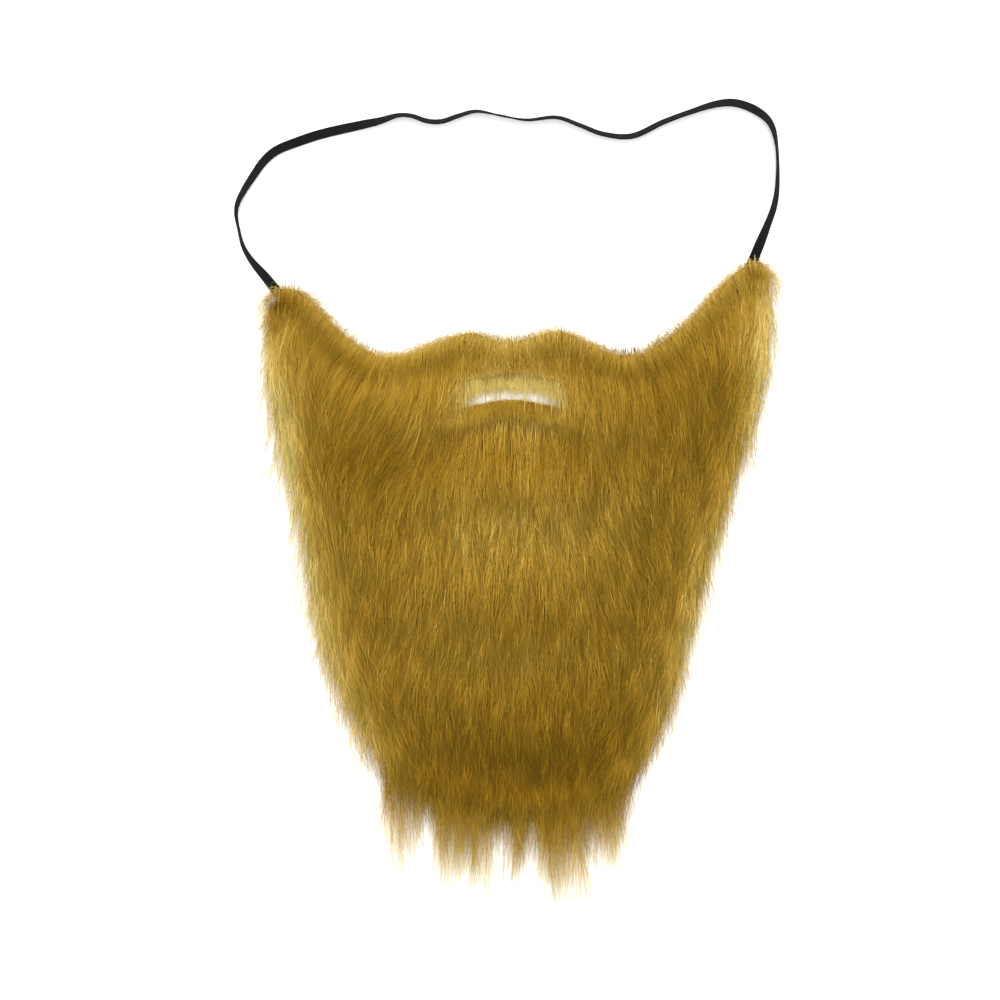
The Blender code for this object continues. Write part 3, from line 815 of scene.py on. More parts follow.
class Field:
    """Values on a regular grid over the beard, read in between."""

    low = np.array([FUR_BOX[0].x - FIELD_MARGIN, FUR_BOX[0].y - FIELD_MARGIN])
    high = np.array([FUR_BOX[1].x + FIELD_MARGIN, FUR_BOX[1].y + FIELD_MARGIN])
    columns = int(math.ceil((high[0] - low[0]) / FIELD_STEP)) + 1
    rows = int(math.ceil((high[1] - low[1]) / FIELD_STEP)) + 1
    x, y = np.meshgrid(
        low[0] + np.arange(columns) * FIELD_STEP, low[1] + np.arange(rows) * FIELD_STEP
    )

    def __init__(self, values):
        self.values = np.asarray(values, float)

    def at(self, x, y):
        """Values at places, straight between the grid's points."""
        column = np.clip((x - Field.low[0]) / FIELD_STEP, 0, Field.columns - 1.001)
        row = np.clip((y - Field.low[1]) / FIELD_STEP, 0, Field.rows - 1.001)
        left, below = column.astype(int), row.astype(int)
        part_x, part_y = column - left, row - below
        values = self.values
        lower = values[below, left] * (1 - part_x) + values[below, left + 1] * part_x
        upper = values[below + 1, left] * (1 - part_x) + values[below + 1, left + 1] * part_x
        return lower * (1 - part_y) + upper * part_y

    def under(self, places):
        """Values under places, given as arrays of X, Y and maybe Z."""
        return self.at(places[..., 0], places[..., 1])

    def smoothed(self, passes):
        """The same values, each averaged with its neighbours a number of times."""
        values = self.values.copy()
        for _ in range(passes):
            padded = np.pad(values, 1, mode="edge")
            values = (padded[1:-1, :-2] + 2 * padded[1:-1, 1:-1] + padded[1:-1, 2:]) / 4
            padded = np.pad(values, 1, mode="edge")
            values = (padded[:-2, 1:-1] + 2 * padded[1:-1, 1:-1] + padded[2:, 1:-1]) / 4
        return Field(values)


def top_of(node):
    """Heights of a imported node's upper side over the grid, 0 where it isn't."""
    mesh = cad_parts[node].data
    tree = BVHTree.FromPolygons([v.co for v in mesh.vertices], [p.vertices for p in mesh.polygons])
    down = Vector((0, 0, -1))
    above = CAD_BOX[1].z + 0.01
    heights = np.zeros((Field.rows, Field.columns))
    for row in range(Field.rows):
        for column in range(Field.columns):
            spot = Vector((Field.x[row, column], Field.y[row, column], above))
            hit = tree.ray_cast(spot, down)[0]
            heights[row, column] = hit.z if hit else 0
    return Field(heights)


def rim_loops(node):
    """The outlines of a packed sheet's upper face, outer one first, as arrays of X and Y."""
    shape = bmesh.new()
    shape.from_mesh(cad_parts[node].data)
    bmesh.ops.remove_doubles(shape, verts=shape.verts[:], dist=0.00001)
    shape.normal_update()
    after = {}
    for edge in shape.edges:
        up = [face for face in edge.link_faces if face.normal.z > 0.5]
        side = [face for face in edge.link_faces if abs(face.normal.z) < 0.3]
        if len(up) == 1 and len(side) == 1:
            for loop in edge.link_loops:
                if loop.face == up[0]:
                    after[loop.vert.index] = loop.link_loop_next.vert.index
    places = [vertex.co.copy() for vertex in shape.verts]
    shape.free()
    loops = []
    while after:
        start, index = next(iter(after.items()))
        del after[start]
        ring = [start]
        while index in after:
            ring.append(index)
            index = after.pop(index)
        loops.append(np.array([places[i][:2] for i in ring]))
    return sorted(loops, key=len, reverse=True)


def rounded_loop(loop, spacing):
    """A closed outline with its straight-lying points dropped and rounded through the others."""
    before, after = np.roll(loop, 1, 0) - loop, np.roll(loop, -1, 0) - loop
    turn = np.abs(before[:, 0] * after[:, 1] - before[:, 1] * after[:, 0])
    turn /= np.linalg.norm(before, axis=1) * np.linalg.norm(after, axis=1) + 1e-12
    kept = loop[turn > 0.02]
    closed = np.vstack([kept[-2:], kept, kept[:3]])
    curve = smooth_path(closed, 8)[16:-16]
    run = np.linalg.norm(np.diff(curve, axis=0), axis=1)
    travelled = np.concatenate([[0], np.cumsum(run)])
    count = int(travelled[-1] / spacing)
    wanted = np.linspace(0, travelled[-1], count, endpoint=False)
    return np.column_stack([np.interp(wanted, travelled, curve[:, axis]) for axis in (0, 1)])


def distance_to(loop):
    """Distances from the grid's points to an outline, positive inside it."""
    best = np.full(Field.x.shape, np.inf)
    inside = np.zeros(Field.x.shape, bool)
    for (x_a, y_a), (x_b, y_b) in zip(loop, np.roll(loop, -1, 0)):
        run_x, run_y = x_b - x_a, y_b - y_a
        along = ((Field.x - x_a) * run_x + (Field.y - y_a) * run_y) / (run_x**2 + run_y**2 + 1e-18)
        along = np.clip(along, 0, 1)
        far = np.hypot(Field.x - x_a - along * run_x, Field.y - y_a - along * run_y)
        best = np.minimum(best, far)
        crosses = (y_a > Field.y) != (y_b > Field.y)
        at = x_a + (Field.y - y_a) / (run_y if run_y else 1e-18) * run_x
        inside ^= crosses & (Field.x < at)
    return Field(np.where(inside, best, -best))


def noise_field(wave, dice):
    """Smooth random values of about -1 to 1 that change over a distance."""
    passes = max(1, int(2 * (wave / FIELD_STEP / 2.5) ** 2))
    made = Field(dice.normal(size=Field.x.shape)).smoothed(min(passes, 400))
    return Field(made.values / (np.abs(made.values).std() * 2 + made.values.std()))


def heading_field(dice):
    """How the fur lies, in radians from straight down, positive towards +X."""
    total = np.zeros(Field.x.shape)
    weights = np.zeros(Field.x.shape)
    for _, across, down, heading, weight in COMB:
        place_x, place_y = beard_point(across, down)
        far = np.hypot(Field.x - place_x, Field.y - place_y)
        pull = weight / (far**2 + COMB_REACH**2) ** 1.5
        total += pull * heading
        weights += pull
    combed = total / weights
    for wave in COMB_WAVES:
        combed = combed + COMB_UNREST * noise_field(wave, dice).values
    return Field(np.radians(combed))


def spots_field(table):
    """What the soft spots of a table add over the beard."""
    total = np.zeros(Field.x.shape)
    for _, across, down, reach_across, reach_down, more in table:
        place_x, place_y = beard_point(across, down)
        off_x = (Field.x - place_x) / (reach_across * BEARD_WIDTH / 2)
        off_y = (Field.y - place_y) / (reach_down * BEARD_LENGTH)
        total += more * np.exp(-(off_x**2 + off_y**2))
    return Field(total)


class Form:
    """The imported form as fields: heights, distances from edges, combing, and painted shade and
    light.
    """

    def __init__(self, dice):
        self.fur = top_of("fur_pile").smoothed(7)
        self.bridge = self.fur.smoothed(60)
        self.cloth = Field(np.maximum(top_of("backing_cloth").values, CLOTH_THICKNESS)).smoothed(4)
        loops = rim_loops("backing_cloth")
        self.edge_loop = rounded_loop(loops[0], 0.002)
        self.slot_loop = rounded_loop(loops[1], 0.001)
        self.edge = distance_to(self.edge_loop)
        self.slot = Field(-distance_to(self.slot_loop).values)
        self.heading = self.held_in(heading_field(dice))
        # painted shade and painted light of the table's spots, with a few spots of the fur's own tone
        self.shade = spots_field(PAINTED_SHADE_LIGHT_AND_TONE)
        self.filled = spots_field(FILL)
        self.patches = noise_field(PATCH_WAVE, dice)
        # painted light: how much of the edges' painted glow each place gets, less towards the hem
        slope_y, slope_x = np.gradient(self.edge.smoothed(10).values, FIELD_STEP)
        downward = np.clip(slope_y / (np.hypot(slope_x, slope_y) + 1e-9), 0, 1)
        self.painted_edge_glow = Field(1 - HEM_GLOW_LOSS * downward**2)
        # painted light: the slot's painted glow over it and above it, none below it
        slope_y, slope_x = np.gradient(self.slot.smoothed(4).values, FIELD_STEP)
        above = np.clip(slope_y / (np.hypot(slope_x, slope_y) + 1e-9) + 0.45, 0, 1)
        self.painted_slot_glow = Field(np.where(self.slot.values < 0, 1, above))

    def held_in(self, heading):
        """The combing with its outward part taken out beside the upright edges."""
        slope_y, slope_x = np.gradient(self.edge.smoothed(6).values, FIELD_STEP)
        size = np.hypot(slope_x, slope_y) + 1e-9
        out_x, out_y = -slope_x / size, -slope_y / size
        x, y = np.sin(heading.values), -np.cos(heading.values)
        outward = np.maximum(x * out_x + y * out_y, 0)
        near = ease(1 - self.edge.values / HOLD_BAND)
        hold = HOLD_SHARE * near * np.abs(out_x) ** 1.5 * outward
        return Field(np.arctan2(x - hold * out_x, -(y - hold * out_y)))

    def away_from(self, distance, places):
        """Unit directions at places in which a distance field falls, so out over its edge."""
        small = FIELD_STEP
        x, y = places[:, 0], places[:, 1]
        slope_x = distance.at(x + small, y) - distance.at(x - small, y)
        slope_y = distance.at(x, y + small) - distance.at(x, y - small)
        size = np.hypot(slope_x, slope_y) + 1e-9
        return -np.column_stack([slope_x, slope_y]) / size[:, None]


def scatter(spacing, dice, keep):
    """Roots on a shaken grid, where keep says so of their X and Y."""
    across = np.arange(FUR_BOX[0].x, FUR_BOX[1].x, spacing)
    along = np.arange(FUR_BOX[0].y, FUR_BOX[1].y, spacing * ROW_SHARE)
    x, y = np.meshgrid(across, along)
    x = x + spacing / 2 * (np.arange(len(along)) % 2)[:, None]
    x = (x + spacing * dice.uniform(-0.5, 0.5, x.shape)).ravel()
    y = (y + spacing * dice.uniform(-0.5, 0.5, y.shape)).ravel()
    kept = keep(x, y)
    return np.column_stack([x[kept], y[kept]])


def walked(form, roots, lengths, turn):
    """Fine paths from roots along the combing. turn: extra heading of each in radians."""
    x, y = roots[:, 0], roots[:, 1]
    path = [roots]
    for _ in range(WALK_STEPS):
        heading = form.heading.at(x, y) + turn
        x = x + np.sin(heading) * lengths / WALK_STEPS
        y = y - np.cos(heading) * lengths / WALK_STEPS
        path.append(np.column_stack([x, y]))
    return np.stack(path, axis=1)


def read_along(paths, shares):
    """Places at shares of fine paths, a row of shares for each path."""
    at = np.clip(shares, 0, 1) * (paths.shape[1] - 1)
    low = np.minimum(at.astype(int), paths.shape[1] - 2)
    part = (at - low)[..., None]
    rows = np.arange(len(paths))[:, None]
    return paths[rows, low] * (1 - part) + paths[rows, low + 1] * part


def gathered(form, roots, lengths, spacing, gather, dice):
    """Fine paths from roots that draw together into clumps, and the number of each one's clump."""
    guides = scatter(spacing, dice, lambda x, y: form.edge.at(x, y) > -spacing)
    usual = lengths.mean()
    turn = np.radians(dice.normal(0, GUIDE_TURN, len(guides)))
    lines = walked(form, guides, np.full(len(guides), usual * 1.3), turn)
    lookup = KDTree(len(guides))
    for index, (x, y) in enumerate(guides):
        lookup.insert((x, y, 0), index)
    lookup.balance()
    nearest = np.array([lookup.find((x, y, 0))[1] for x, y in roots])
    shares = np.linspace(0, 1, WALK_STEPS + 1)
    line = read_along(lines[nearest], shares[None, :] * (lengths / usual / 1.3)[:, None])
    run = line - line[:, :1]
    together = gather[:, None] * ease(shares / 0.9)[None, :]
    bend = np.radians(dice.normal(0, STRAND_TURN, len(roots)))[:, None] * shares[None, :]
    sway = np.stack([-run[..., 1], run[..., 0]], axis=2) * bend[..., None]
    off = (roots - guides[nearest])[:, None, :] * (1 - together)[..., None]
    return line + off + sway, nearest


def rolled_over_edge(form, paths, lengths, dice):
    """Lets strands near the cloth's edge bulge out over it before they turn with the combing."""
    roots = paths[:, 0]
    out = form.away_from(form.edge, roots)
    heading = form.heading.under(roots)
    facing = -(out[:, 0] * np.sin(heading) - out[:, 1] * np.cos(heading))
    near = ease(1 - form.edge.under(roots) / EDGE_BAND)
    back = near * np.clip(facing, 0, 1)
    travelled = np.linspace(0, 1, paths.shape[1])[None, :] * lengths[:, None]
    delay = (ROLL_DELAY * back + 1e-6)[:, None]
    run = travelled - delay * (1 - np.exp(-travelled / delay))
    moved = read_along(paths, run / lengths[:, None])
    bulge = ROLL_REACH * back * dice.uniform(0.75, 1.05, len(roots))
    swell = np.sin(math.pi * np.clip(travelled / ROLL_RUN, 0, 1)) * bulge[:, None]
    low = ease((BEARD_TOP - roots[:, 1]) / BEARD_LENGTH / 0.45)
    splay = SPLAY_REACH * near * (1 - np.clip(facing, 0, 1)) * dice.uniform(0, 1, len(roots)) ** 1.8
    splay = splay * (0.25 + 0.75 * low)
    beside = near * (1 - np.clip(facing, 0, 1)) * SIDE_REACH * dice.uniform(0.15, 1.05, len(roots))
    beside = beside * np.maximum(1 + form.filled.under(roots), 0)
    spread = ease(travelled / SPLAY_RUN) * splay[:, None]
    spread = spread + ease(travelled / SIDE_RUN) * beside[:, None]
    moved = moved + out[:, None, :] * (swell + spread)[..., None]
    lip = form.away_from(form.slot, roots)
    leaving = -(lip[:, 0] * np.sin(heading) - lip[:, 1] * np.cos(heading))
    by_slot = ease(1 - form.slot.under(roots) / SLOT_BAND) * np.clip(leaving, 0, 1)
    nudge = SLOT_REACH * by_slot[:, None] * np.sin(math.pi * np.clip(travelled / ROLL_RUN, 0, 1))
    return moved + lip[:, None, :] * nudge[..., None]


def first_past(distance, paths, over):
    """The share of each fine path at which it has gone a distance past an edge, or 1."""
    past = distance.under(paths) < -over[:, None]
    return np.where(past.any(axis=1), past.argmax(axis=1) / (paths.shape[1] - 1), 1.0)


def ended_at_edges(form, paths, reach, dice):
    """The share of each fine path that it keeps: a little way over the slot or past the edge."""
    count = len(paths)
    over_slot = np.abs(dice.normal(0, SLOT_VEIL, count)) + 0.0004
    thinner = np.minimum(form.filled.under(paths[:, 0]), 0)
    over_edge = EDGE_OVERHANG + dice.exponential(reach, count)
    over_edge = over_edge * np.maximum(1 + FILL_OVERHANG * thinner, 0.3)
    kept = np.minimum(
        first_past(form.slot, paths, over_slot), first_past(form.edge, paths, over_edge)
    )
    return np.maximum(kept, 0.08)


def dimple_at(x, y):
    """How far the stitches at the ear tips pull the fur down."""
    depth = np.zeros(x.shape)
    for _, across, down, _ in TACKS:
        place_x, place_y = beard_point(across, down)
        depth += DIMPLE_DEPTH * np.exp(-((x - place_x) ** 2 + (y - place_y) ** 2) / DIMPLE_REACH**2)
    return depth


def laid(form, paths, shares, rise, proud, settle):
    """The strands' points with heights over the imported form.

    rise: share of the fur's height at which a strand leaves the mass, proud: metres that its end
    stands over the surface, settle: its height over the floor where no fur is under it.
    """
    x, y = paths[..., 0], paths[..., 1]
    top = np.maximum(form.fur.at(x, y) - dimple_at(x, y), 0)
    cloth = np.minimum(form.cloth.at(x, y), top)
    level = rise[:, None] + (1 - rise[:, None]) * np.minimum(1, shares / 0.5)[None, :] ** 0.6
    z = cloth + (top - cloth) * level + proud[:, None] * ease((shares - 0.2) / 0.8)[None, :]
    z[:, 1:-1] = (z[:, :-2] + 2 * z[:, 1:-1] + z[:, 2:]) / 4
    floor = settle[:, None] * (0.5 + 0.5 * shares)[None, :]
    return np.concatenate([paths, np.maximum(z, floor)[..., None]], axis=2)


def loosely_laid(form, paths, shares, ranges, dice):
    """The strands' points, with rise, proud and settle drawn from (low, high) ranges."""
    drawn = [dice.uniform(low, high, len(paths)) for low, high in ranges]
    return laid(form, paths, shares, *drawn)


def painted_light_and_tone_at(form, places):
    """What a place adds to a strand's shade: the table's painted shade and painted light, the painted
    glow of the thin edges and of the fur round the mouth slot, and random patches of tone.
    """
    depth = np.maximum(form.edge.under(places) + PILE_OVERHANG, 0)
    slot = np.maximum(form.slot.under(places), 0)
    # painted light: the thin edges and the fur round the mouth slot paler, as light shines through
    painted_glow = EDGE_PAINTED_GLOW * np.exp(-depth / EDGE_GLOW_REACH) * form.painted_edge_glow.under(places)
    painted_glow = painted_glow + SLOT_PAINTED_GLOW * np.exp(-slot / SLOT_GLOW_REACH) * form.painted_slot_glow.under(places)
    return form.shade.under(places) + painted_glow + PATCH_SHADE * form.patches.under(places)


class Strands:
    """Strands of one kind: their points, and the width and shade at each point."""

    def __init__(self, points, width, shade, shares):
        ends = (shares <= 0) | (shares >= 1)
        self.points = points
        self.width = width[:, None] * np.where(ends, 0, np.minimum(1, 1.35 - 0.8 * shares))[None, :]
        self.shade = np.clip(shade, 0.005, 1 - MAP_WIDTH - 0.005)
        self.shares = shares

    def some(self, chosen):
        """The strands that a row of yes and no says."""
        part = copy.copy(self)
        for values in ("points", "width", "shade"):
            setattr(part, values, getattr(self, values)[chosen])
        return part


def combed_strands(form, roots, kind, dice):
    """Strands that grow from roots and follow the combing."""
    count = len(roots)
    shares = np.array(kind["points"])
    lengths = kind["length"] * dice.uniform(0.72, 1.18, count)
    gather = np.clip(dice.normal(kind["gather"], 0.15, count), 0, 0.95)
    paths, clump = gathered(form, roots, lengths, kind["clump"], gather, dice)
    paths = rolled_over_edge(form, paths, lengths, dice)
    kept = ended_at_edges(form, paths, kind["past_edge"], dice)
    paths = read_along(paths, kept[:, None] * shares[None, :])
    paths[:, 1:] += dice.normal(0, STRAND_WAVER, (count, len(shares) - 1, 2)) * shares[1:, None]
    rise = np.clip(dice.normal(0.55, 0.15, count), 0.15, 0.9)
    proud = dice.normal(kind["proud"], kind["proud_spread"], count)
    settle = dice.uniform(0.0006, kind["settle"], count)
    points = laid(form, paths, shares, rise, proud, settle)
    clump_shade = dice.normal(0, CLUMP_SHADE, clump.max() + 1)
    shade = kind["shade"] + clump_shade[clump] + dice.normal(0, STRAND_SHADE, count)
    # painted light: strands that stand prouder of the surface are paler, as if more lit
    shade = shade + kind["proud_painted_light"] * (proud - kind["proud"])
    width = kind["width"] * dice.uniform(0.75, 1.25, count)
    return Strands(points, width, shade[:, None] + painted_light_and_tone_at(form, points), shares)


def wisp(form, place, length, heading, width, count, dice):
    """A bunch of strands from round a place, drawn to a soft point."""
    shares = np.linspace(0, 1, FRINGE_POINTS)
    side = dice.normal(0, 0.5, count)
    start = dice.uniform(-0.40, 0.10, count) * LOCK_LENGTH
    reach = length * (1.12 - 0.90 * dice.uniform(0, 1, count) ** 1.1)
    reach = np.minimum(reach, place[1] - FUR_BOX[0].y + FRINGE_OVERRUN)
    turn = math.radians(heading)
    ahead = np.array([math.sin(turn), -math.cos(turn)])
    aside = np.array([math.cos(turn), math.sin(turn)])
    run = start[:, None] + (reach - start)[:, None] * shares[None, :]
    drawn = ease(shares)[None, :] * dice.uniform(0.45, 1.0, (count, 1))
    wave = np.sin(shares[None, :] * 5 + dice.uniform(0, 6, (count, 1)))
    sway = dice.normal(0, WISP_SWAY) * shares**2
    astray = np.radians(np.clip(dice.standard_t(3, count), -3, 3) * WISP_TURN)
    stray = astray[:, None] * length * shares**2
    wide = side[:, None] * width * (1 - drawn) + WISP_WAVE * wave * shares + sway[None, :] + stray
    paths = place + run[..., None] * ahead + wide[..., None] * aside
    rise = dice.uniform(0.4, 0.9, count)
    proud = dice.normal(0.0, 0.0009, count)
    points = laid(form, paths, shares, rise, proud, dice.uniform(0.0006, 0.0045, count))
    tone = WISP_SHADE + dice.normal(0, 0.04) + dice.normal(0, STRAND_SHADE, count)
    # painted light: paler past the cloth's edge, as light shines through the thin tips
    tip_glow = TIP_PAINTED_GLOW * ease(-form.edge.under(points) / TIP_REACH)
    shade = tone[:, None] + tip_glow + form.shade.under(points)
    return Strands(points, FRINGE_FIBRE * dice.uniform(0.6, 1.2, count), shade, shares)


def fringe_strands(form, dice):
    """The long locks that hang past the hem, and the small wisps between and over them."""
    made = []
    for across, down, length, heading in FRINGE:
        place = np.array(beard_point(across, down))
        for _ in range(FRINGE_WISPS):
            off = np.array([dice.normal(0, 0.0026), dice.normal(0, 0.003)])
            reach = length * LOCK_LENGTH * dice.uniform(0.92, 1.20)
            turn = heading + dice.normal(0, 4.0) - off[0] * FRINGE_DRAW
            count = FRINGE_COUNT // (2 if abs(across) > 0.38 else 1)
            made.append(wisp(form, place + off, reach, turn, FRINGE_WIDTH, count, dice))
    for _ in range(HEM_WISPS):
        across = dice.uniform(-0.56, 0.39)
        place = np.array(beard_point(across, 0.955 - 0.16 * across**2))
        reach = LOCK_LENGTH * dice.uniform(0.30, 1.15)
        turn = dice.normal(-8 * across, 6)
        made.append(wisp(form, place, reach, turn, HEM_WIDTH, HEM_COUNT, dice))
    return made


def along_top(loop, distance, form, spacing, dice):
    """Places along the parts of an outline that the fur is combed away from, and the ways out."""
    run = np.linalg.norm(np.roll(loop, -1, 0) - loop, axis=1)
    pick = dice.choice(len(loop), int(run.sum() / spacing), p=run / run.sum())
    out = form.away_from(distance, loop)
    pick = pick[out[pick, 1] > dice.uniform(-0.1, 0.5, len(pick))]
    return loop[pick] + dice.normal(0, 0.0008, (len(pick), 2)), out[pick]


def rim_strands(form, loop, distance, spacing, over, length, dice):
    """The strands that round off an edge: out over the cloth's edge, then back over the fur."""
    roots, out = along_top(loop, distance, form, spacing, dice)
    count = len(roots)
    shares = np.array(RIM_POINTS)
    lengths = length * dice.uniform(0.6, 1.2, count)
    turn = np.radians(dice.normal(0, 14, count))
    paths = read_along(walked(form, roots, lengths, turn), np.tile(shares, (count, 1)))
    reach = over * np.minimum(dice.uniform(0.25, 1.35, count), dice.normal(1, 0.06, count))
    swell = np.sin(math.pi * np.minimum(shares / 0.85, 1)) ** 0.7
    aside = np.column_stack([out[:, 1], -out[:, 0]]) * dice.normal(0, RIM_DRIFT, count)[:, None]
    run = np.linalg.norm(paths - roots[:, None, :], axis=2)
    paths = paths + out[:, None, :] * (swell * (reach[:, None] + 0.5 * run))[..., None]
    paths = paths + aside[:, None, :] * shares[None, :, None]
    rise = dice.uniform(0.2, 1.0, count)
    proud = dice.normal(0.0008, 0.0004, count)
    points = laid(form, paths, shares, rise, proud, dice.uniform(0.002, 0.005, count))
    # painted light: paler where the strand stands out past the cloth
    painted_rim_glow = RIM_PAINTED_GLOW * np.sin(math.pi * np.minimum(shares / 0.6, 1))
    shade = dice.normal(RIM_SHADE, 0.07, count)[:, None] + painted_rim_glow[None, :] + painted_light_and_tone_at(form, points)
    return Strands(points, RIM_FIBRE * dice.uniform(0.7, 1.2, count), shade, shares)


def fuzz_strands(form, dice):
    """The few short pale fibres that stand out of the upper edge."""
    roots, out = along_top(form.edge_loop, form.edge, form, FUZZ_SPACING, dice)
    count = len(roots)
    roots = roots + out * dice.uniform(0.0002, 0.0040, count)[:, None]
    shares = np.linspace(0, 1, FUZZ_POINTS)
    side = np.where(dice.uniform(0, 1, count) < 0.5, -1, 1)
    first = turned(out, np.radians(side * dice.uniform(10, 80, count)))
    bend = np.radians(side * dice.uniform(0, 90, count))
    length = FUZZ_LENGTH * (0.35 + 1.2 * dice.uniform(0, 1, count) ** 2.5)
    paths = bent_paths(roots, first, bend, length, shares)
    ranges = (0.3, 0.9), (-0.001, 0.001), (0.001, 0.004)
    points = loosely_laid(form, paths, shares, ranges, dice)
    shade = dice.normal(FUZZ_SHADE, 0.06, count)[:, None] + 0 * shares[None, :]
    return Strands(points, FUZZ_FIBRE * dice.uniform(0.6, 1.0, count), shade, shares)


def veil_strands(form, dice):
    """The fine fibres that hang and stand over the mouth slot from its edge, pale with painted light.
    """
    loop = form.slot_loop
    middle = loop.mean(axis=0)
    away = form.away_from(form.slot, loop)
    pick = dice.choice(len(loop), VEIL_COUNT)
    pick = pick[away[pick, 1] < dice.uniform(-0.9, 0.1, VEIL_COUNT)]
    count = len(pick)
    roots = loop[pick] + dice.normal(0, 0.0010, (count, 2))
    roots[:, 1] += dice.exponential(0.0022, count)
    shares = np.linspace(0, 1, FUZZ_POINTS)
    turn = np.radians(dice.normal(0, 17, count)) - (roots[:, 0] - middle[0]) * VEIL_DRAW
    first = np.column_stack([np.sin(turn), -np.cos(turn)])
    bend = np.radians(dice.normal(0, 30, count))
    length = VEIL_LENGTH * (0.25 + 0.95 * dice.uniform(0, 1, count))
    paths = bent_paths(roots, first, bend, length, shares)
    ranges = (0.5, 1.0), (-0.001, 0.0015), (0.001, 0.003)
    points = loosely_laid(form, paths, shares, ranges, dice)
    held = form.bridge.under(points) * VEIL_LIFT * (1 - 0.4 * shares)
    points[..., 2] = np.maximum(points[..., 2], held * dice.uniform(0.6, 1, (count, 1)))
    shade = dice.normal(VEIL_SHADE, 0.06, count)[:, None] + painted_light_and_tone_at(form, points)
    # painted light: paler towards the tip and towards the root, as light shines through the veil
    shade = shade + (VEIL_TIP_GLOW * shares + VEIL_ROOT_GLOW * (1 - shares) ** 2)[None, :]
    return Strands(points, VEIL_FIBRE * dice.uniform(0.7, 1.1, count), shade, shares)


def turned(directions, angles):
    """Directions turned about the vertical by angles in radians."""
    cos, sin = np.cos(angles), np.sin(angles)
    x, y = directions[:, 0], directions[:, 1]
    return np.column_stack([cos * x - sin * y, sin * x + cos * y])


def bent_paths(roots, first, bend, length, shares):
    """Paths that set out in a direction and bend evenly along their length."""
    place = roots.copy()
    paths = [place]
    for before, share in zip(shares, shares[1:]):
        heading = turned(first, bend * (before + share) / 2)
        place = place + heading * (length * (share - before))[:, None]
        paths.append(place)
    return np.stack(paths, axis=1)


def bunch(form, row, turning, fibre, dice):
    """The loose fibres of one row of TUFTS."""
    _, across, down, count, length, heading, bend, tone, spread = row
    shares = np.linspace(0, 1, STRAY_POINTS)
    off = spread * np.clip(dice.normal(0, 1, (count, 2)), -2, 2)
    roots = np.array(beard_point(across, down)) + off
    roots = roots[form.edge.under(roots) > -PILE_OVERHANG / 2]
    count = len(roots)
    turn = np.radians(heading + turning * np.clip(dice.normal(0, 1, count), -1.6, 1.6))
    first = np.column_stack([np.sin(turn), -np.cos(turn)])
    bends = np.radians(bend * dice.uniform(0.3, 1.4, count))
    reach = length * dice.uniform(0.5, 1.15, count)
    paths = bent_paths(roots, first, bends, reach, shares)
    ranges = (0.5, 1), (0, 0.002), (0.0008, 0.004)
    points = loosely_laid(form, paths, shares, ranges, dice)
    shade = dice.normal(tone, 0.08, count)[:, None] + form.shade.under(points)
    return Strands(points, fibre * dice.uniform(0.8, 1.3, count), shade, shares)


def loose_strands(form, dice):
    """The loose fibres off the edge and the matted bunches at the ear tips."""
    strays = [(*row, STRAY_SHADE, STRAY_SPREAD) for row in STRAYS]
    made = [bunch(form, row, STRAY_TURN, STRAY_FIBRE, dice) for row in strays]
    return made + [bunch(form, row, TUFT_TURN, FUZZ_FIBRE, dice) for row in TUFTS]


def strand_lines(name, kinds):
    """One mesh of lines through the strands of some kinds, which carry what the sweep needs."""
    points = np.concatenate([kind.points.reshape(-1, 3) for kind in kinds])
    starts = []
    first = 0
    for kind in kinds:
        count, steps = kind.points.shape[:2]
        index = first + np.arange(count * steps).reshape(count, steps)
        starts.append(index[:, :-1].ravel())
        first += count * steps
    starts = np.concatenate(starts)
    mesh = bpy.data.meshes.new(name)
    mesh.vertices.add(len(points))
    mesh.vertices.foreach_set("co", points.astype(np.float32).ravel())
    mesh.edges.add(len(starts))
    ends = np.column_stack([starts, starts + 1])
    mesh.edges.foreach_set("vertices", ends.astype(np.int32).ravel())
    along = [np.tile(kind.shares, len(kind.points)) for kind in kinds]
    for label, values in (
        ("width", [kind.width.ravel() for kind in kinds]),
        ("shade", [kind.shade.ravel() for kind in kinds]),
        ("along", along),
    ):
        layer = mesh.attributes.new(label, "FLOAT", "POINT")
        layer.data.foreach_set("value", np.concatenate(values).astype(np.float32))
    return mesh


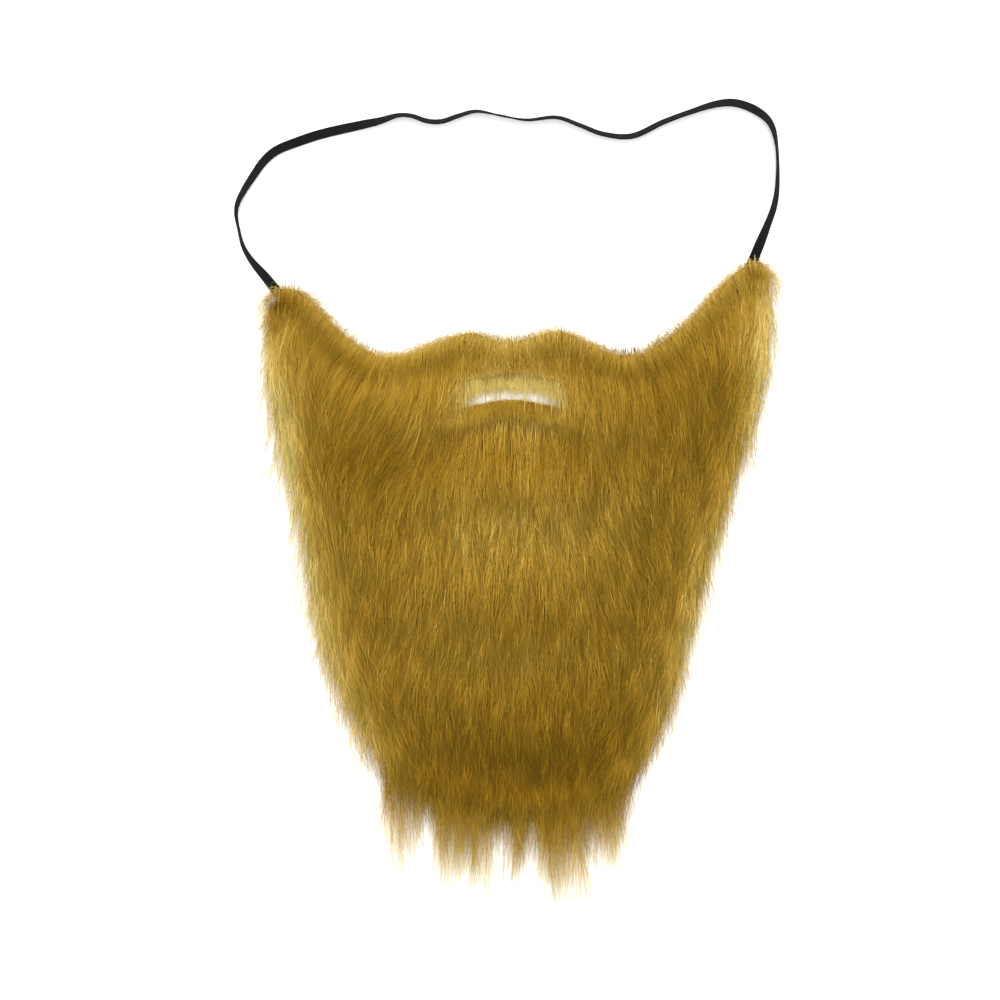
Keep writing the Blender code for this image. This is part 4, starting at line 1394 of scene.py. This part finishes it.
def sweep_tree():
    """Geometry nodes that give lines their width, their map and their material."""
    tree = bpy.data.node_groups.new("strand sweep", "GeometryNodeTree")
    for name, kind in (
        ("Lines", "NodeSocketGeometry"),
        ("Sides", "NodeSocketInt"),
        ("Map Width", "NodeSocketFloat"),
        ("Material", "NodeSocketMaterial"),
    ):
        tree.interface.new_socket(name, in_out="INPUT", socket_type=kind)
    tree.interface.new_socket("Strands", in_out="OUTPUT", socket_type="NodeSocketGeometry")
    given = tree.nodes.new("NodeGroupInput")
    result = tree.nodes.new("NodeGroupOutput")
    link = tree.links.new

    def named(name):
        read = tree.nodes.new("GeometryNodeInputNamedAttribute")
        read.data_type = "FLOAT"
        read.inputs["Name"].default_value = name
        return read.outputs["Attribute"]

    lines = tree.nodes.new("GeometryNodeMeshToCurve")
    link(given.outputs["Lines"], lines.inputs["Mesh"])
    ring = tree.nodes.new("GeometryNodeCurvePrimitiveCircle")
    ring.inputs["Radius"].default_value = 0.5
    link(given.outputs["Sides"], ring.inputs["Resolution"])
    turn = tree.nodes.new("GeometryNodeSplineParameter")
    marked = tree.nodes.new("GeometryNodeStoreNamedAttribute")
    marked.data_type = "FLOAT"
    marked.inputs["Name"].default_value = "round"
    link(ring.outputs["Curve"], marked.inputs["Geometry"])
    link(turn.outputs["Factor"], marked.inputs["Value"])
    sweep = tree.nodes.new("GeometryNodeCurveToMesh")
    link(lines.outputs["Curve"], sweep.inputs["Curve"])
    link(marked.outputs["Geometry"], sweep.inputs["Profile Curve"])
    link(named("width"), sweep.inputs["Scale"])
    spread = math_node(tree, "MULTIPLY", named("round"), given.outputs["Map Width"])
    place = tree.nodes.new("ShaderNodeCombineXYZ")
    link(math_node(tree, "ADD", named("shade"), spread), place.inputs["X"])
    link(named("along"), place.inputs["Y"])
    mapped = tree.nodes.new("GeometryNodeStoreNamedAttribute")
    mapped.data_type = "FLOAT2"
    mapped.domain = "CORNER"
    mapped.inputs["Name"].default_value = STRAND_MAP
    link(sweep.outputs["Mesh"], mapped.inputs["Geometry"])
    link(place.outputs["Vector"], mapped.inputs["Value"])
    closed = tree.nodes.new("GeometryNodeMergeByDistance")
    closed.inputs["Distance"].default_value = STRAND_WELD
    link(mapped.outputs["Geometry"], closed.inputs["Geometry"])
    smooth = tree.nodes.new("GeometryNodeSetShadeSmooth")
    link(closed.outputs["Geometry"], smooth.inputs["Geometry"])
    real = tree.nodes.new("GeometryNodeRealizeInstances")
    link(smooth.outputs["Geometry"], real.inputs["Geometry"])
    finish = tree.nodes.new("GeometryNodeSetMaterial")
    link(real.outputs["Geometry"], finish.inputs["Geometry"])
    link(given.outputs["Material"], finish.inputs["Material"])
    link(finish.outputs["Geometry"], result.inputs["Strands"])
    return tree


def swept(name, lines, tree, sides, material):
    """A plain object of what the sweep makes of a mesh of lines."""
    holder = put_in(name + "_lines", lines)
    modifier = holder.modifiers.new(name, "NODES")
    modifier.node_group = tree
    wanted = {"Sides": sides, "Map Width": MAP_WIDTH, "Material": material}
    for item in tree.interface.items_tree:
        if item.in_out == "INPUT" and item.name in wanted:
            modifier[item.identifier] = wanted[item.name]
    mesh = finished(holder)
    mesh.name = name
    return put_in(name, mesh)


def region_of(roots):
    """The number in FUR_REGIONS of the piece that a strand belongs to."""
    across = roots[:, 0] / (BEARD_WIDTH / 2)
    down = (BEARD_TOP - roots[:, 1]) / BEARD_LENGTH
    region = np.full(len(roots), len(FUR_REGIONS) - 1)
    for number in range(len(FUR_REGIONS) - 2, -1, -1):
        _, left, right, lowest = FUR_REGIONS[number]
        region[(across >= left) & (across < right) & (down < lowest)] = number
    return region


def make_fur(form, dice, material, tree):
    """The strands of the fur, as a few pieces."""

    def between(nearest, farthest):
        """A test of whether places lie on the cloth and within two distances from its edge."""

        def test(x, y):
            edge = form.edge.at(x, y)
            return (edge > nearest) & (edge < farthest) & (form.slot.at(x, y) > ROOT_INSET)

        return test

    body_roots = scatter(BODY_SPACING, dice, between(BODY_INSET, math.inf))
    edge_roots = scatter(EDGE_SPACING, dice, between(ROOT_INSET, EDGE_BAND))
    kinds = [
        combed_strands(form, body_roots, BODY_KIND, dice),
        combed_strands(form, edge_roots, EDGE_KIND, dice),
        *fringe_strands(form, dice),
        rim_strands(form, form.edge_loop, form.edge, RIM_SPACING, RIM_REACH, RIM_LENGTH, dice),
        rim_strands(form, form.slot_loop, form.slot, LIP_SPACING, LIP_REACH, LIP_LENGTH, dice),
        fuzz_strands(form, dice),
        *loose_strands(form, dice),
        veil_strands(form, dice),
    ]
    made = []
    for number, (name, _, _, _) in enumerate(FUR_REGIONS):
        parts = [kind.some(region_of(kind.points[:, 0]) == number) for kind in kinds]
        parts = [part for part in parts if len(part.points)]
        made.append(swept(name, strand_lines(name, parts), tree, STRAND_SIDES, material))
    return made


def outline_block(name, loops, tall):
    """A straight-sided block of an outline, less the outlines inside it."""
    curve = bpy.data.curves.new(name, "CURVE")
    curve.dimensions = "2D"
    curve.fill_mode = "BOTH"
    curve.extrude = tall
    for loop in loops:
        spline = curve.splines.new("POLY")
        spline.points.add(len(loop) - 1)
        spline.use_cyclic_u = True
        for point, (x, y) in zip(spline.points, loop):
            point.co = (x, y, 0, 1)
    mesh = finished(put_in(name, curve))
    turn_outwards(mesh, STRAND_WELD)
    return mesh


def cut_slab(name, loops, top, bottom, material):
    """A closed sheet between two heights given over X and Y, cut to outlines."""
    low, high = loops[0].min(axis=0) - SLAB_MARGIN, loops[0].max(axis=0) + SLAB_MARGIN
    columns, rows = (np.ceil((high - low) / SLAB_STEP)).astype(int) + 1
    x, y = np.meshgrid(np.linspace(low[0], high[0], columns), np.linspace(low[1], high[1], rows))
    flat = [
        np.column_stack([x.ravel(), y.ravel(), height(x, y).ravel()]) for height in (bottom, top)
    ]
    count = rows * columns
    corner = (np.arange(rows - 1)[:, None] * columns + np.arange(columns - 1)[None, :]).ravel()
    cell = np.column_stack([corner, corner + 1, corner + columns + 1, corner + columns])
    faces = [tuple(face) for face in (cell + count).tolist()]
    faces += [tuple(face) for face in cell[:, ::-1].tolist()]
    rim = list(range(columns)) + [row * columns + columns - 1 for row in range(1, rows)]
    rim += [count - 2 - step for step in range(columns - 1)]
    rim += [row * columns for row in range(rows - 2, 0, -1)]
    faces += [(a, b, b + count, a + count) for a, b in zip(rim, rim[1:] + rim[:1])]
    slab = put_in(name + "_slab", mesh_of(name + "_slab", np.vstack(flat), faces), material)
    cutter = put_in(name + "_outline", outline_block(name + "_outline", loops, CUTTER_HALF))
    boolean = slab.modifiers.new("outline", "BOOLEAN")
    boolean.operation = "INTERSECT"
    boolean.solver = "MANIFOLD"
    boolean.object = cutter
    mesh = finished(slab)
    mesh.name = name
    bpy.data.objects.remove(cutter)
    mesh.shade_smooth()
    mesh.set_sharp_from_angle(angle=math.radians(SHARP_EDGE))
    return put_in(name, mesh)


def make_ground_cloth(form, material):
    """The knitted ground, a laid sheet cut to the beard's outline."""
    return cut_slab(
        "ground_cloth",
        (form.edge_loop, form.slot_loop),
        form.cloth.at,
        lambda x, y: form.cloth.at(x, y) - CLOTH_THICKNESS,
        material,
    )


def rim_loop(form):
    """The outline of the dense roots: past the cloth's edge above, inside it elsewhere."""
    out = form.away_from(form.edge, form.edge_loop)
    reach = MAT_INSET + (MAT_OVERHANG - MAT_INSET) * ease((out[:, 1] - 0.1) / 0.5)
    return form.edge_loop + out * reach[:, None]


def make_mat(form, material):
    """The dense roots of the fur, on the ground cloth and under the strands."""

    def top(x, y):
        thick = np.maximum(form.fur.at(x, y) - dimple_at(x, y) - form.cloth.at(x, y), MAT_LEAST)
        near = ease((form.edge.at(x, y) + MAT_OVERHANG) / MAT_SLOPE)
        near = near * ease(form.slot.at(x, y) / MAT_SLOT_SLOPE)
        return form.cloth.at(x, y) + MAT_EDGE + thick * MAT_SHARE * near

    return cut_slab(
        "fur_roots",
        (rim_loop(form), form.slot_loop),
        top,
        lambda x, y: form.cloth.at(x, y) + MAT_GAP,
        material,
    )


def make_tacks(form, material, tree):
    """The stitches that hold the elastic's ends under the ear tips."""
    shares = np.linspace(0, 1, TACK_POINTS)
    points = []
    for _, across, down, heading in TACKS:
        place = np.array(beard_point(across, down))
        turn = math.radians(heading)
        along = np.array([math.sin(turn), -math.cos(turn)])
        aside = np.array([math.cos(turn), math.sin(turn)])
        for step in range(TACK_COUNT):
            middle = place + along * (step - (TACK_COUNT - 1) / 2) * TACK_SPACING
            slope = along * TACK_SLANT * (-1) ** step
            line = middle + (shares[:, None] - 0.5) * (aside * TACK_LENGTH + slope)
            top = form.fur.under(line) - dimple_at(line[:, 0], line[:, 1])
            z = top - TACK_LENGTH * 0.5 * (2 * shares - 1) ** 4 + 0.0002
            points.append(np.column_stack([line, np.maximum(z, 0.0004)]))
    points = np.array(points)
    stitches = Strands(
        points, np.full(len(points), TACK_THREAD), np.full(points.shape[:2], 0.5), shares
    )
    lines = strand_lines("thread_tacks", [stitches])
    return swept("thread_tacks", lines, tree, TACK_SIDES, material)


def main():
    """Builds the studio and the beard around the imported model."""
    make_camera()
    make_studio()
    elastic = make_elastic(elastic_material())
    dice = np.random.default_rng(SEED)
    form = Form(dice)
    cloth = make_ground_cloth(form, knit_material())
    mat = make_mat(form, mat_material())
    sweep = sweep_tree()
    fur = make_fur(form, dice, fur_material(), sweep)
    tacks = make_tacks(form, thread_material(), sweep)
    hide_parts("elastic_band")
    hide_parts("backing_cloth")
    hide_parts("fur_pile")
    for piece in (elastic, cloth, mat, tacks, *fur):
        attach(piece, "root")


main()
